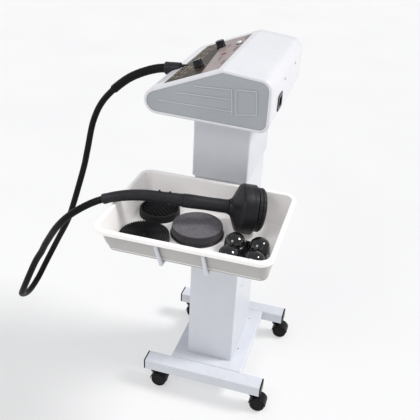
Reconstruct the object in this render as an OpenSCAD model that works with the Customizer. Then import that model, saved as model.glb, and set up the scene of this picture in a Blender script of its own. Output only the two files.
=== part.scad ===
// Floor-standing vibration massage machine on castors. A motor in the sloped console
// turns a flexible shaft in a hose, which drives an orbiting applicator in the handpiece.
// Millimetres. +Z is up, the operator stands at -Y, and the accessory tray hangs at +X.
// The origin is on the floor, under the middle of the column.

/* [Base] */
// Length of a foot bar with its end caps
bar_length = 400; // [380:5:440]
// Width of a foot bar
bar_width = 50; // [44:1:60]
// Height of a foot bar
bar_height = 38; // [34:1:44]
// Distance between the middles of the two foot bars
bar_spacing = 382; // [370:1:400]
// Width of the pressed pan between the bars
pan_width = 242; // [220:1:260]
// Sheet thickness of the bars, the pan and the column
sheet = 2; // [1.5:0.5:3]
// Thickness of the caps that close the bars
cap_thickness = 5; // [3:1:8]

/* [Castors] */
// Height from the floor to the underside of the bars
castor_height = 70; // [68:1:76]
// Diameter of a castor wheel
wheel_diameter = 50; // [46:1:52]
// Width of one wheel of a twin pair
wheel_width = 15; // [12:1:16]
// Distance from the swivel stem back to the axle
castor_trail = 20; // [16:1:22]
// Distance from the middle of a bar to a castor stem
stem_offset = 171; // [160:1:172]

/* [Column] */
// Depth of the column from the tray side to the far side
column_depth = 252; // [240:1:256]
// Width of the column across the operator's view
column_width = 152; // [140:1:156]
// Thickness of the upper cover in front of and behind the column
cover_depth_wall = 9.5; // [6:0.5:10]
// Thickness of the upper cover at the column's sides
cover_side_wall = 4.5; // [3:0.5:6]
// Height of the upper cover's lower edge above the floor
cover_bottom = 780; // [778:1:800]

/* [Tray] */
// Outside length of the tray at its rim
tray_length = 454; // [440:1:460]
// Nearest point of the tray's rim to the column's middle
tray_near = 134; // [132:1:140]
// Farthest point of the tray's rim from the column's middle
tray_far = 498; // [490:1:505]
// Height of the top of the rim above the floor
rim_top = 776; // [774:1:777]
// Height of the tray's floor above the ground
tray_floor = 683; // [681:0.5:684]
// Thickness of the moulded tray
tray_wall = 3; // [2.5:0.5:4]
// Diameter of the bent rods that carry the tray
arm_diameter = 10; // [8:1:12]
// Distance of each rod from the middle of the tray
arm_offset = 60; // [50:1:80]

/* [Console] */
// Width of the console over both cheeks
console_width = 450; // [440:2:460]
// Thickness of a cheek
cheek_thickness = 10; // [8:1:12]
// Thickness of the console's shell
console_wall = 3; // [2:0.5:4]
// Angle of the control slope above the horizontal
slope_angle = 21.7; // [21:0.1:22]
// Radius of the rounded nose
nose_radius = 35; // [33:1:36]

/* [Controls] */
// Diameter of a control knob
knob_diameter = 29; // [26:1:32]
// Height of a control knob
knob_height = 20; // [14:1:22]
// Diameter of the start button
button_diameter = 14; // [12:1:15]
// Height of the start button above the slope
button_height = 8; // [5:0.5:9]
// Travel of the start button
button_travel = 2; // [1:0.5:2]

/* [Handpiece] */
// Radius of the head's ring
head_radius = 68; // [66:0.5:68]
// Radius of the applicator fitted on the head
applicator_radius = 60; // [56:1:60]
// Distance of the eccentric pin from the spindle's axis
throw = 2.5; // [1.5:0.5:2.5]

/* [Hose] */
// Diameter of the hose
hose_diameter = 19; // [17:1:20]
// Diameter of the thicker guard over the first stretch
guard_diameter = 25; // [23:1:26]

/* [Loose applicators] */
// Radius of the sponge applicator's backing plate
sponge_radius = 73; // [68:1:74]
// Radius of the ridged applicator
ridged_radius = 68; // [60:1:68]
// Radius of the cupped applicator
cupped_radius = 58; // [54:1:58]
// Radius of the four-ball applicator's base
ball_base_radius = 63; // [60:1:63]
// Height of the four-ball applicator's base
ball_base_height = 27; // [20:1:30]
// Radius of one ball
ball_radius = 29; // [26:1:29]

/* [Hidden] */
$fn = 48;

bar_top = castor_height + bar_height;
bar_x = bar_spacing / 2;
pan_half = bar_x - bar_width / 2;
wheel_r = wheel_diameter / 2;
hood_r = wheel_r + 4;
web_half = 6;
axle_r = 4;
stem_r = 5.5;
socket_r = 9;
running_gap = 0.05;

cover_x = column_depth / 2 + cover_depth_wall;
cover_y = column_width / 2 + cover_side_wall;

rim_width = 12;
rim_corner = 34;
rim_thickness = 6;
rim_lip = 12;
tray_half = tray_length / 2;
tray_bottom = tray_floor - tray_wall;
wall_top_y = tray_half - rim_width + tray_wall;
wall_foot_y = tray_half - 16;
wall_top_far = tray_far - 11;
wall_foot_far = tray_far - 60;
wall_top_near = tray_near + 9;
wall_foot_near = tray_near + 15;
rib_height = 4;
arm_r = arm_diameter / 2;
arm_z = tray_bottom - rib_height - arm_r;
arm_bend = 9;
wall_rise = rim_top - 1 - tray_bottom;
wall_lean = atan((wall_top_far - wall_foot_far) / wall_rise);

shell_half = console_width / 2 - cheek_thickness;
slope_foot = [-146, 1061.5];
bottom_front = [-165, 985];
bottom_angle = -2.03;
// Corners of the console's outline as [y, z, radius]: nose, apex, rear top, rear bottom.
console_corners = [
  [-324, 990.6, nose_radius], [15, 1125.6, 8], [143, 1111.3, 32], [143, 974.1, 26]
];
label_half = 206;
label_low = -2;
label_high = 165;
label_depth = 1.5;
intensity_at = [110, 72];
timer_at = [-100, 75];
button_at = [-75, 139];
lamp_at = [20, 117];
shaft_r = 3;
inlet_at = [102, 1023];
inlet_size = [58, 44];

ball_spread = 33;
sponge_at = [284, -14];
ridged_at = [358, -138];
cupped_at = [216, -147];
ball_at = [358, 134];

// Where the drive leaves the console, and the downward tilt of its axis.
drive_exit = [40, -198, 1050];
drive_tilt = 6;
drive_dir = [0, -cos(drive_tilt), -sin(drive_tilt)];
sleeve_length = 45;
sleeve_r = [16.5, 18];
gland_r = 12;
motor_r = 29;
motor_shaft_r = 4;

// The handpiece lies across the tray and hangs from the hose's end point.
hand_end = [366, -252, 784];
hand_yaw = 111.5;
hand_pitch = 9;
boot_start = -252;
boot_bend = 300;
boot_angle = 26;
grip_step = -176;
flare_start = -52;
ring_back = -19;
ring_front = 17;
core_r = 7;
boot_r = 14;
// Direction in which the hose runs into the boot.
hand_dir = [
  cos(hand_yaw) * cos(boot_angle - hand_pitch),
  sin(hand_yaw) * cos(boot_angle - hand_pitch),
  sin(boot_angle - hand_pitch)
];

// The hose leaves the console, droops in one loop beside the machine and rises to the tray.
hose_route = [
  drive_exit, [40, -265, 1030], [45, -325, 995], [45, -390, 930], [50, -425, 860],
  [70, -440, 770], [80, -450, 715], [95, -470, 635], [100, -490, 570], [95, -515, 510],
  [90, -560, 425], [115, -590, 355], [170, -600, 310], [235, -595, 305], [295, -580, 340],
  [330, -545, 400], [335, -495, 505], [340, -465, 555], [355, -435, 605], [385, -375, 690],
  [385, -320, 745], hand_end - 0.3 * hand_dir
];
hose_sides = 10;
guard_rings = 6;

// ---- helper functions ----

function unit(v) = v / norm(v);
function xy(p) = [p[0], p[1]];

// Points of one rounded corner b between neighbours a and c.
function corner_arc(a, b, c, r, steps) =
  let (
    u = unit(a - b),
    w = unit(c - b),
    half = acos(u * w) / 2,
    centre = b + unit(u + w) * r / sin(half),
    start = b + u * r / tan(half) - centre,
    stop = b + w * r / tan(half) - centre,
    first = atan2(start[1], start[0]),
    turn = (atan2(stop[1], stop[0]) - first + 540) % 360 - 180
  )
  [for (i = [0 : steps]) centre + r * [cos(first + turn * i / steps), sin(first + turn * i / steps)]];

// An outline from corners [x, y, radius].
function rounded(corners, steps) =
  let (n = len(corners))
  [for (i = [0 : n - 1]) each corner_arc(
    xy(corners[(i + n - 1) % n]), xy(corners[i]), xy(corners[(i + 1) % n]), corners[i][2], steps
  )];

// The same corners moved inwards by t.
function inset(corners, t) =
  let (n = len(corners))
  [for (i = [0 : n - 1])
    let (
      b = xy(corners[i]),
      u = unit(xy(corners[(i + n - 1) % n]) - b),
      w = unit(xy(corners[(i + 1) % n]) - b),
      p = b + unit(u + w) * t / sin(acos(u * w) / 2)
    )
    [p[0], p[1], max(corners[i][2] - t, 1)]
  ];

// Catmull-Rom points through a route whose end tangents are given.
function route_ghosts(p, first, last) =
  let (n = len(p))
  concat(
    [p[1] - 2 * first * norm(p[1] - p[0])], p, [p[n - 2] + 2 * last * norm(p[n - 1] - p[n - 2])]
  );
function between(a, b, c, d, t) =
  0.5 * (2 * b + (c - a) * t + (2 * a - 5 * b + 4 * c - d) * t * t
    + (3 * b - a - 3 * c + d) * t * t * t);
function smoothed(p, first, last, parts) =
  let (e = route_ghosts(p, first, last))
  [
    for (i = [1 : len(e) - 3], k = [0 : parts - 1])
      between(e[i - 1], e[i], e[i + 1], e[i + 2], k / parts),
    p[len(p) - 1]
  ];
function tangents(p, first, last) = [
  for (i = [0 : len(p) - 1])
    i == 0 ? first : i == len(p) - 1 ? last : unit(p[i + 1] - p[i - 1])
];
function across(v, t) = unit(v - (v * t) * t);
// A side direction for each ring, carried along the route without twisting.
function carried(t) = [
  for (
    i = 0, u = across([1, 0.3, 0.2], t[0]);
    i < len(t);
    i = i + 1, u = i < len(t) ? across(u, t[i]) : u
  ) u
];

// ---- helper shapes ----

// A tube of radius r swept along points p with tangents t.
module swept(p, t, r, sides) {
  u = carried(t);
  n = len(p);
  rings = [
    for (i = [0 : n - 1], k = [0 : sides - 1])
      p[i] + r * (cos(360 * k / sides) * u[i] + sin(360 * k / sides) * cross(t[i], u[i]))
  ];
  walls = [
    for (i = [0 : n - 2], k = [0 : sides - 1])
      let (a = i * sides + k, b = i * sides + (k + 1) % sides)
      each [[a, b + sides, b], [a, a + sides, b + sides]]
  ];
  ends = [
    [for (k = [0 : sides - 1]) k],
    [for (k = [0 : sides - 1]) n * sides - 1 - k]
  ];
  polyhedron(rings, concat(walls, ends), convexity = 6);
}

// Extrudes a [y, z] outline along X.
module along_x(x0, x1) translate([x0, 0, 0]) rotate([90, 0, 90]) linear_extrude(x1 - x0) children();

// A cylinder along X.
module x_rod(x0, x1, r) translate([x0, 0, 0]) rotate([0, 90, 0]) cylinder(h = x1 - x0, r = r);

// A solid turned around X from an outline of [radius, x].
module x_turned(outline) rotate([0, 90, 0]) rotate_extrude() polygon(outline);

module rounded_slab(x0, x1, half, r, z0, z1) {
  translate([0, 0, z0]) linear_extrude(z1 - z0)
    polygon(rounded([[x0, -half, r], [x1, -half, r], [x1, half, r], [x0, half, r]], 6));
}

module on_slope() translate([0, slope_foot[0], slope_foot[1]]) rotate([slope_angle, 0, 0]) children();
module on_bottom() translate([0, bottom_front[0], bottom_front[1]]) rotate([bottom_angle, 0, 0]) children();
module on_drive() translate(drive_exit) rotate([90 + drive_tilt, 0, 0]) children();

// Everything above the console's underside.
module console_space() on_bottom() translate([-300, -200, 0]) cube([600, 700, 300]);

// Frame of the handpiece: x runs along the grip to the head, and x = 0 is inside the ring.
module in_hand() {
  translate(hand_end) rotate([0, hand_pitch, hand_yaw])
    translate([
      boot_bend * sin(boot_angle) - boot_start, 0, boot_bend * (1 - cos(boot_angle))
    ])
      children();
}

// ---- base ----

module foot_bar(side) color("whitesmoke") {
  tube = bar_length - 2 * cap_thickness;
  translate([side * bar_x, 0, castor_height]) difference() {
    translate([-bar_width / 2, -tube / 2, 0]) cube([bar_width, tube, bar_height]);
    translate([-bar_width / 2 + sheet, -tube / 2 - 1, sheet])
      cube([bar_width - 2 * sheet, tube + 2, bar_height - 2 * sheet]);
    for (y = [-stem_offset, stem_offset]) translate([0, y, -1]) cylinder(h = sheet + 2, r = socket_r);
  }
}

module bar_end_caps() color("black") {
  for (x = [-bar_x, bar_x], end = [-1, 1])
    translate([x, end * (bar_length / 2 - cap_thickness / 2), castor_height + bar_height / 2])
      cube([bar_width, cap_thickness, bar_height], center = true);
}

module base_pan() color("whitesmoke") difference() {
  translate([-pan_half, -pan_width / 2, castor_height + sheet])
    cube([2 * pan_half, pan_width, bar_height - sheet]);
  translate([-pan_half - 1, -pan_width / 2 + sheet, castor_height])
    cube([2 * pan_half + 2, pan_width - 2 * sheet, bar_height - sheet]);
}

module base_screws() color("silver") {
  for (x = [-110, 60], side = [-1, 1])
    translate([x, side * (column_width / 2 + 10), bar_top]) cylinder(h = 2.2, r = 4);
}

module castor_sockets() color("dimgray") {
  for (x = [-bar_x, bar_x], y = [-stem_offset, stem_offset])
    translate([x, y, castor_height]) difference() {
      cylinder(h = bar_height - sheet, r = socket_r);
      translate([0, 0, -1]) cylinder(h = 29, r = stem_r + running_gap);
    }
}

module castor_hood(side_x, side_y) color("black") {
  hood_half = web_half + wheel_width + 1;
  translate([side_x * bar_x, side_y * stem_offset, 0]) difference() {
    union() {
      translate([0, 0, castor_height - 20]) cylinder(h = 19.5, r = 12);
      translate([0, 0, castor_height - 1]) cylinder(h = 27, r = stem_r);
      translate([0, castor_trail, wheel_r]) {
        difference() {
          x_rod(-hood_half, hood_half, hood_r);
          x_rod(-hood_half - 1, hood_half + 1, wheel_r + 1);
          translate([-50, -60, -56]) cube([100, 120, 60]);
        }
        difference() {
          x_rod(-web_half, web_half, hood_r - 1);
          translate([-50, -60, -70]) cube([100, 120, 60]);
        }
      }
    }
    translate([-50, castor_trail, wheel_r]) x_rod(0, 100, axle_r + running_gap);
  }
}

module castor_wheels(side_x, side_y) color("black") {
  translate([side_x * bar_x, side_y * stem_offset + castor_trail, wheel_r]) {
    x_rod(-web_half - wheel_width, web_half + wheel_width, axle_r);
    for (side = [-1, 1]) scale([side, 1, 1]) x_wheel();
  }
}

module x_wheel() {
  x0 = web_half + 0.5;
  x1 = web_half + wheel_width;
  x_turned([
    [0, x0], [wheel_r - 2, x0], [wheel_r, x0 + 2], [wheel_r, x1 - 4], [wheel_r - 3, x1 - 1],
    [wheel_r - 9, x1], [0, x1]
  ]);
}

// ---- column ----

module lower_column() color("whitesmoke") difference() {
  translate([-column_depth / 2, -column_width / 2, bar_top]) cube([column_depth, column_width, 900]);
  translate([-column_depth / 2 + sheet, -column_width / 2 + sheet, bar_top - 1])
    cube([column_depth - 2 * sheet, column_width - 2 * sheet, 902]);
  console_space();
}

module upper_cover() color("white") difference() {
  rounded_slab(-cover_x, cover_x, cover_y, 4, cover_bottom, 1000);
  translate([-column_depth / 2 - 0.2, -column_width / 2 - 0.2, cover_bottom - 1])
    cube([column_depth + 0.4, column_width + 0.4, 300]);
  console_space();
}

module column_screws() color("silver") {
  for (side = [-1, 1], z = [370, 640])
    translate([50, side * column_width / 2, z]) rotate([-side * 90, 0, 0]) cylinder(h = 1.8, r = 4);
}

// ---- tray ----

module tray_block(near_top, near_foot, far_top, far_foot, y_top, y_foot, z0, z1, r) {
  hull() {
    rounded_slab(near_foot, far_foot, y_foot, r - 8, z0, z0 + 0.01);
    rounded_slab(near_top, far_top, y_top, r, z1 - 0.01, z1);
  }
}

module tray() color("white") difference() {
  union() {
    tray_block(
      wall_top_near, wall_foot_near, wall_top_far, wall_foot_far, wall_top_y, wall_foot_y,
      tray_bottom, rim_top - 1, 30
    );
    rounded_slab(tray_near, tray_far, tray_half, rim_corner, rim_top - rim_thickness, rim_top);
    difference() {
      rounded_slab(tray_near, tray_far, tray_half, rim_corner, rim_top - rim_lip, rim_top - rim_thickness);
      rounded_slab(
        tray_near + 3, tray_far - 3, tray_half - 3, rim_corner - 3,
        rim_top - rim_lip - 1, rim_top - rim_thickness
      );
    }
    for (y = [-arm_offset, arm_offset])
      translate([wall_foot_near + 15, y - 6, tray_bottom - rib_height])
        cube([wall_foot_far - wall_foot_near - 45, 12, rib_height + 1]);
  }
  tray_block(
    wall_top_near + tray_wall, wall_foot_near + tray_wall, wall_top_far - tray_wall,
    wall_foot_far - tray_wall, wall_top_y - tray_wall, wall_foot_y - tray_wall,
    tray_floor, rim_top + 1, 27
  );
}

// A rod that runs out under the tray, bends, and turns up along the tray's far wall.
module tray_arm(side) color("white") {
  x_bend = wall_foot_far - 4;
  turn = 90 - wall_lean;
  rise = rim_top - rim_lip - 2 - (arm_z + arm_bend);
  turns = [for (a = [0 : turn / 5 : turn + 0.01]) a];
  elbow = [
    for (a = turns) [x_bend + arm_bend * sin(a), side * arm_offset, arm_z + arm_bend * (1 - cos(a))]
  ];
  up = [cos(turn), 0, sin(turn)];
  swept(
    concat([[column_depth / 2 + 4, side * arm_offset, arm_z]], elbow, [elbow[5] + up * rise / up[2]]),
    concat([[1, 0, 0]], [for (a = turns) [cos(a), 0, sin(a)]], [up]),
    arm_r, 12
  );
}

module tray_bracket() color("white") {
  x0 = column_depth / 2;
  translate([x0, -arm_offset - 20, arm_z - 22]) cube([4, 2 * arm_offset + 40, 38]);
}

// ---- console ----

// The cone of the connector sleeve and the bore of the gland, cut out of the nose.
module drive_cut() on_drive() {
  translate([0, 0, -sleeve_length - 0.2])
    cylinder(h = sleeve_length + 20, r1 = sleeve_r[0] + 0.3, r2 = sleeve_r[1] + 1.1);
  translate([0, 0, -130]) cylinder(h = 120, r = gland_r + 0.2);
}

module control_cuts() on_slope() {
  for (at = [intensity_at, timer_at]) translate([at[0], at[1], -10]) cylinder(h = 20, r = shaft_r + 1);
  translate([button_at[0], button_at[1], -10]) cylinder(h = 20, r = button_diameter / 2 + 1.5);
  translate([lamp_at[0], lamp_at[1], -10]) cylinder(h = 20, r = 7);
}

module base_opening(gap) on_bottom()
  translate([-195 - gap, 50 - gap, -1]) cube([390 + 2 * gap, 205 + 2 * gap, 8]);

module console_shell() color("white") difference() {
  along_x(-shell_half, shell_half) polygon(rounded(console_corners, 8));
  along_x(-shell_half - 1, shell_half + 1) polygon(rounded(inset(console_corners, console_wall), 8));
  base_opening(0.3);
  on_slope() translate([-label_half - 0.2, label_low - 0.2, -label_depth])
    cube([2 * label_half + 0.4, label_high - label_low + 0.4, 10]);
  control_cuts();
  drive_cut();
  translate([inlet_at[0] - inlet_size[0] / 2 + 3, 130, inlet_at[1] - inlet_size[1] / 2 + 3])
    cube([inlet_size[0] - 6, 20, inlet_size[1] - 6]);
}

module console_cheek(side) color("gainsboro") difference() {
  along_x(
    side > 0 ? shell_half : -console_width / 2, side > 0 ? console_width / 2 : -shell_half
  ) polygon(rounded(console_corners, 8));
  along_x(
    side > 0 ? console_width / 2 - 2.5 : -console_width / 2 - 10,
    side > 0 ? console_width / 2 + 10 : -console_width / 2 + 2.5
  ) polygon(rounded(inset(console_corners, 8), 8));
}

module console_base_plate() color("lightgray") intersection() {
  base_opening(0);
  on_bottom() translate([-300, 0, 0]) cube([600, 400, console_wall]);
}

module rear_screws() color("silver") {
  for (x = [-109, 49]) translate([x, 143, 1068]) rotate([-90, 0, 0]) cylinder(h = 1.8, r = 4);
}

module control_panel() color("rosybrown") difference() {
  on_slope() translate([-label_half, label_low, -label_depth])
    cube([2 * label_half, label_high - label_low, label_depth + 0.3]);
  control_cuts();
  drive_cut();
}

module knob(at) color("black") on_slope() translate([at[0], at[1], 0]) {
  translate([0, 0, -15]) cylinder(h = 18, r = shaft_r);
  difference() {
    translate([0, 0, 1]) cylinder(h = knob_height, r1 = knob_diameter / 2, r2 = knob_diameter / 2 - 1.5);
    translate([-0.8, knob_diameter / 2 - 8, knob_height]) cube([1.6, 10, 3]);
  }
}

module control_pots() color("silver") on_slope() {
  for (at = [intensity_at, timer_at]) translate([at[0], at[1], -17]) difference() {
    cylinder(h = 17 - console_wall, r = 12);
    translate([0, 0, 1.5]) cylinder(h = 20, r = shaft_r + running_gap);
  }
}

module start_button() color("white") on_slope() translate([button_at[0], button_at[1], 0]) {
  translate([0, 0, -4]) cylinder(h = 4 + button_height, r = button_diameter / 2);
}

module button_bezel() color("black") on_slope() translate([button_at[0], button_at[1], 0]) difference() {
  union() {
    translate([0, 0, -9]) cylinder(h = 10, r = button_diameter / 2 + 1.4);
    translate([0, 0, 0.3]) cylinder(h = 2.2, r = button_diameter / 2 + 3);
  }
  translate([0, 0, -4 - button_travel - 1]) cylinder(h = 20, r = button_diameter / 2 + running_gap);
}

module pilot_lamp() color("firebrick") on_slope() translate([lamp_at[0], lamp_at[1], 0]) {
  translate([0, 0, -5]) cylinder(h = 6, r = 6.9);
  translate([0, 0, 0.3]) cylinder(h = 1.7, r = 8.5);
}

// A mains socket with a recess for the plug and three pins.
module mains_inlet() color("black") translate([inlet_at[0], 143, inlet_at[1]]) {
  difference() {
    union() {
      translate([-inlet_size[0] / 2, 0, -inlet_size[1] / 2]) cube([inlet_size[0], 2.5, inlet_size[1]]);
      translate([-inlet_size[0] / 2 + 3.2, -18, -inlet_size[1] / 2 + 3.2])
        cube([inlet_size[0] - 6.4, 19, inlet_size[1] - 6.4]);
    }
    translate([-14, -15, -10]) cube([28, 20, 20]);
  }
  for (x = [-7, 0, 7]) translate([x, -15, x == 0 ? 3 : -2]) rotate([-90, 0, 0]) cylinder(h = 12, r = 1.5);
}

module control_board() color("seagreen") on_bottom() {
  translate([-175, 90, console_wall + 8]) cube([130, 90, 1.6]);
  for (x = [-170, -50], y = [95, 175]) translate([x, y, console_wall]) cylinder(h = 8, r = 3);
  translate([-165, 100, console_wall + 9]) cube([50, 44, 38]);
  translate([-95, 110, console_wall + 9]) cube([40, 12, 30]);
  translate([-95, 140, console_wall + 9]) cylinder(h = 26, r = 9);
}

// ---- drive ----

module motor_can() color("gray") on_drive() difference() {
  translate([0, 0, -270]) cylinder(h = 120, r = motor_r);
  translate([0, 0, -266]) cylinder(h = 112, r = motor_r - 3);
  translate([0, 0, -160]) cylinder(h = 20, r = motor_shaft_r + running_gap);
}

module motor_rotor() color("peru") on_drive() {
  translate([0, 0, -262]) cylinder(h = 100, r = motor_r - 6);
  translate([0, 0, -265]) cylinder(h = 165, r = motor_shaft_r);
}

module motor_cradle() color("lightgray") difference() {
  on_bottom() for (y = [165, 215])
    translate([drive_exit[0] - 30, y, console_wall]) cube([60, 16, 84]);
  on_drive() translate([0, 0, -300]) cylinder(h = 200, r = motor_r);
}

module drive_coupling() color("silver") on_drive() difference() {
  translate([0, 0, -128]) cylinder(h = 78, r = core_r - 0.5);
  translate([0, 0, -129]) cylinder(h = 29, r = motor_shaft_r);
}

module shaft_gland() color("black") on_drive() difference() {
  union() {
    translate([0, 0, -112]) cylinder(h = 112 - sleeve_length, r = gland_r);
    translate([0, 0, -112]) cylinder(h = 6, r = gland_r + 4);
  }
  translate([0, 0, -113]) cylinder(h = 120, r = core_r);
}

module connector_sleeve() color("black") on_drive() difference() {
  translate([0, 0, -sleeve_length]) cylinder(h = sleeve_length, r1 = sleeve_r[0], r2 = sleeve_r[1]);
  translate([0, 0, -sleeve_length - 1]) cylinder(h = sleeve_length + 2, r = core_r);
}

// ---- hose ----

hose_points = smoothed(hose_route, drive_dir, hand_dir, 2);
hose_tangents = tangents(hose_points, drive_dir, hand_dir);

module hose_guard() color("black") swept(
  [for (i = [0 : guard_rings - 1]) hose_points[i]],
  [for (i = [0 : guard_rings - 1]) hose_tangents[i]],
  guard_diameter / 2, hose_sides
);

module hose() color("black") swept(
  [for (i = [guard_rings - 1 : len(hose_points) - 1]) hose_points[i]],
  [for (i = [guard_rings - 1 : len(hose_points) - 1]) hose_tangents[i]],
  hose_diameter / 2, hose_sides
);

// ---- handpiece ----

module bend_boot() color("black") in_hand() {
  translate([boot_start, 0, -boot_bend]) rotate([90, 0, 0]) rotate([0, 0, 90])
    rotate_extrude(angle = boot_angle, $fn = 240) translate([boot_bend, 0]) difference() {
      circle(r = boot_r);
      circle(r = core_r);
    }
}

module grip_rear() color("black") in_hand() x_turned([
  [core_r, boot_start], [15.5, boot_start], [17.5, grip_step], [core_r, grip_step]
]);

module grip_front() color("black") in_hand() x_turned([
  [11, grip_step], [18, grip_step], [19, grip_step + 2], [18.5, flare_start], [11, flare_start]
]);

module grip_studs() color("black") in_hand() {
  for (x = [-240, -212]) translate([x, 0, 15.6 + (x - boot_start) / 38]) cylinder(h = 5, r = 3);
}

module head_housing() color("black") in_hand() x_turned([
  [11, flare_start], [20, flare_start], [24, flare_start + 7], [head_radius - 4, ring_back - 3],
  [head_radius, ring_back + 1], [head_radius, ring_front - 1], [head_radius - 1, ring_front],
  [64, ring_front], [64, ring_back + 6], [20, flare_start + 14], [11, flare_start + 12]
]);

module head_bearings() color("silver") in_hand() {
  for (x = [grip_step + 4, flare_start - 12]) x_turned([
    [5 + running_gap, x], [11, x], [11, x + 10], [5 + running_gap, x + 10]
  ]);
}

// The spindle carries a counterweight and an eccentric pin.
module spindle() color("silver") in_hand() {
  x_rod(grip_step + 1, 4, 5);
  x_rod(0, 6, 20);
  translate([0, 0, throw]) x_rod(5, 16, 5);
  rotate([0, 90, 0]) rotate([0, 0, -90]) rotate_extrude(angle = 180) translate([0, -9]) square([40, 10]);
}

module drive_plate() color("dimgray") in_hand() translate([0, 0, throw]) difference() {
  union() {
    x_rod(8, 13, 52);
    x_rod(12, 18.5, 22);
  }
  x_rod(7, 16.5, 5 + running_gap);
}

module fitted_applicator() color("black") in_hand() translate([0, 0, throw]) x_turned([
  [0, 18.5], [applicator_radius - 2, 18.5], [applicator_radius, 20.5],
  [applicator_radius, 36], [applicator_radius - 6, 41.5], [0, 42]
]);

// ---- loose applicators ----

module in_tray(at, z = 0) translate([at[0], at[1], tray_floor + z]) children();

module sponge_backing() color("black") in_tray(sponge_at) cylinder(h = 8, r = sponge_radius);

module sponge_pad() color("dimgray") in_tray(sponge_at, 8) {
  cylinder(h = 20, r = sponge_radius - 3);
  translate([0, 0, 20]) cylinder(h = 3, r1 = sponge_radius - 3, r2 = sponge_radius - 7);
}

module ridged_applicator() color("black") in_tray(ridged_at) {
  cylinder(h = 12, r = ridged_radius);
  for (r = [12 : 12 : 60])
    rotate_extrude() polygon([[r - 4, 11], [r + 3, 11], [r + 0.5, 21], [r - 1.5, 21]]);
}

module cupped_applicator() color("black") in_tray(cupped_at) rotate_extrude() polygon([
  [0, 0], [cupped_radius - 4, 0], [cupped_radius, 5], [cupped_radius, 20], [cupped_radius - 6, 20],
  [cupped_radius - 8, 8], [24, 8], [20, 18], [0, 18]
]);

module ball_applicator() color("black") in_tray(ball_at) {
  cylinder(h = ball_base_height - 8, r = ball_base_radius);
  translate([0, 0, ball_base_height - 8]) cylinder(h = 8, r1 = ball_base_radius, r2 = ball_base_radius - 7);
  for (x = [-ball_spread, ball_spread], y = [-ball_spread, ball_spread]) intersection() {
    translate([x, y, 22]) sphere(r = ball_radius);
    translate([x, y, 5]) cylinder(h = 60, r = ball_radius + 1);
  }
}

foot_bar(1);  // foot_bar_tray_side
foot_bar(-1);  // foot_bar_far_side
bar_end_caps();
base_pan();
base_screws();
castor_sockets();
castor_hood(1, -1);  // castor_tray_front_hood
castor_hood(1, 1);  // castor_tray_rear_hood
castor_hood(-1, -1);  // castor_far_front_hood
castor_hood(-1, 1);  // castor_far_rear_hood
castor_wheels(1, -1);  // castor_tray_front_wheels
castor_wheels(1, 1);  // castor_tray_rear_wheels
castor_wheels(-1, -1);  // castor_far_front_wheels
castor_wheels(-1, 1);  // castor_far_rear_wheels
lower_column();
upper_cover();
column_screws();
tray();
tray_arm(-1);  // tray_arm_front
tray_arm(1);  // tray_arm_rear
tray_bracket();
console_shell();
console_cheek(1);  // console_cheek_tray_side
console_cheek(-1);  // console_cheek_far_side
console_base_plate();
rear_screws();
control_panel();
knob(intensity_at);  // intensity_knob
knob(timer_at);  // timer_knob
control_pots();
start_button();
button_bezel();
pilot_lamp();
mains_inlet();
control_board();
motor_can();
motor_rotor();
motor_cradle();
drive_coupling();
shaft_gland();
connector_sleeve();
hose_guard();
hose();
bend_boot();
grip_rear();
grip_front();
grip_studs();
head_housing();
head_bearings();
spindle();
drive_plate();
fitted_applicator();
sponge_backing();
sponge_pad();
ridged_applicator();
cupped_applicator();
ball_applicator();
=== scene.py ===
"""Looks of a floor-standing vibration massage machine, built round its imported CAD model.

Lengths are millimetres until a surface becomes a mesh, and the frame is the CAD model's:
+Z is up, the operator stands at -Y, the accessory tray hangs at +X.
"""

import math

import bmesh
import bpy
import numpy as np
from mathutils import Euler, Matrix, Vector


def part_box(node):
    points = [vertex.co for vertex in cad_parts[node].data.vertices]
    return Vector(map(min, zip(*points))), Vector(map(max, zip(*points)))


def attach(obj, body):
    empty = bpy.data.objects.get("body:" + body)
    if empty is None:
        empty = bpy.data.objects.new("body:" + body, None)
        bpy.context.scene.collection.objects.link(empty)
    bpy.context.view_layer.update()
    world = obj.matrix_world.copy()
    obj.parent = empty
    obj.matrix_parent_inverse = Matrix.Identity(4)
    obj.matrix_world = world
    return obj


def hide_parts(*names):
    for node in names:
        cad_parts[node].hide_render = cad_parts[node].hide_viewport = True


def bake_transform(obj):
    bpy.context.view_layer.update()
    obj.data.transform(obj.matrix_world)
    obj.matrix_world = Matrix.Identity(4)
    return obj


MM = 0.001
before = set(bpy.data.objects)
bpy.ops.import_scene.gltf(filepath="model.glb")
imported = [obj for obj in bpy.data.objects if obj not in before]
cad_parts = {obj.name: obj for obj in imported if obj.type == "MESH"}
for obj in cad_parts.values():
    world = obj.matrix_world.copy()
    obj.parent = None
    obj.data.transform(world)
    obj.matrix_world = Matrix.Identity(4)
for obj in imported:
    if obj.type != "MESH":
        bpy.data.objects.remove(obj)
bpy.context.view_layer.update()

# ---- camera ----

LENS_MM = 53.32
CAMERA_AT = (1.6602, 0.3873, 1.5769)
CAMERA_TURN = (60.27, -2.70, 106.54)


def make_camera():
    """A 36 mm wide sensor looking down on the tray side from the rear right."""
    data = bpy.data.cameras.new("camera")
    data.lens = LENS_MM
    data.clip_end = 100
    camera = bpy.data.objects.new("camera", data)
    camera.location = CAMERA_AT
    camera.rotation_euler = Euler([math.radians(a) for a in CAMERA_TURN])
    bpy.context.scene.collection.objects.link(camera)
    bpy.context.scene.camera = camera


make_camera()

# ---- sizes and places ----

SHEET = 2
BAR_X = 191
BAR_HALF_WIDTH = 25
BAR_BOTTOM = 70
BASE_TOP = 108
BAR_END = 195
CAP_END = 200
PAN_HALF = 121
PAN_X = 166
PAN_FOLD = 72
STEM_Y = 171
TRAIL = 20
WHEEL_R = 25

COLUMN_HALF = (126, 76)
COVER_HALF = (135.5, 80.5)
COVER_BOTTOM = 780

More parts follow.
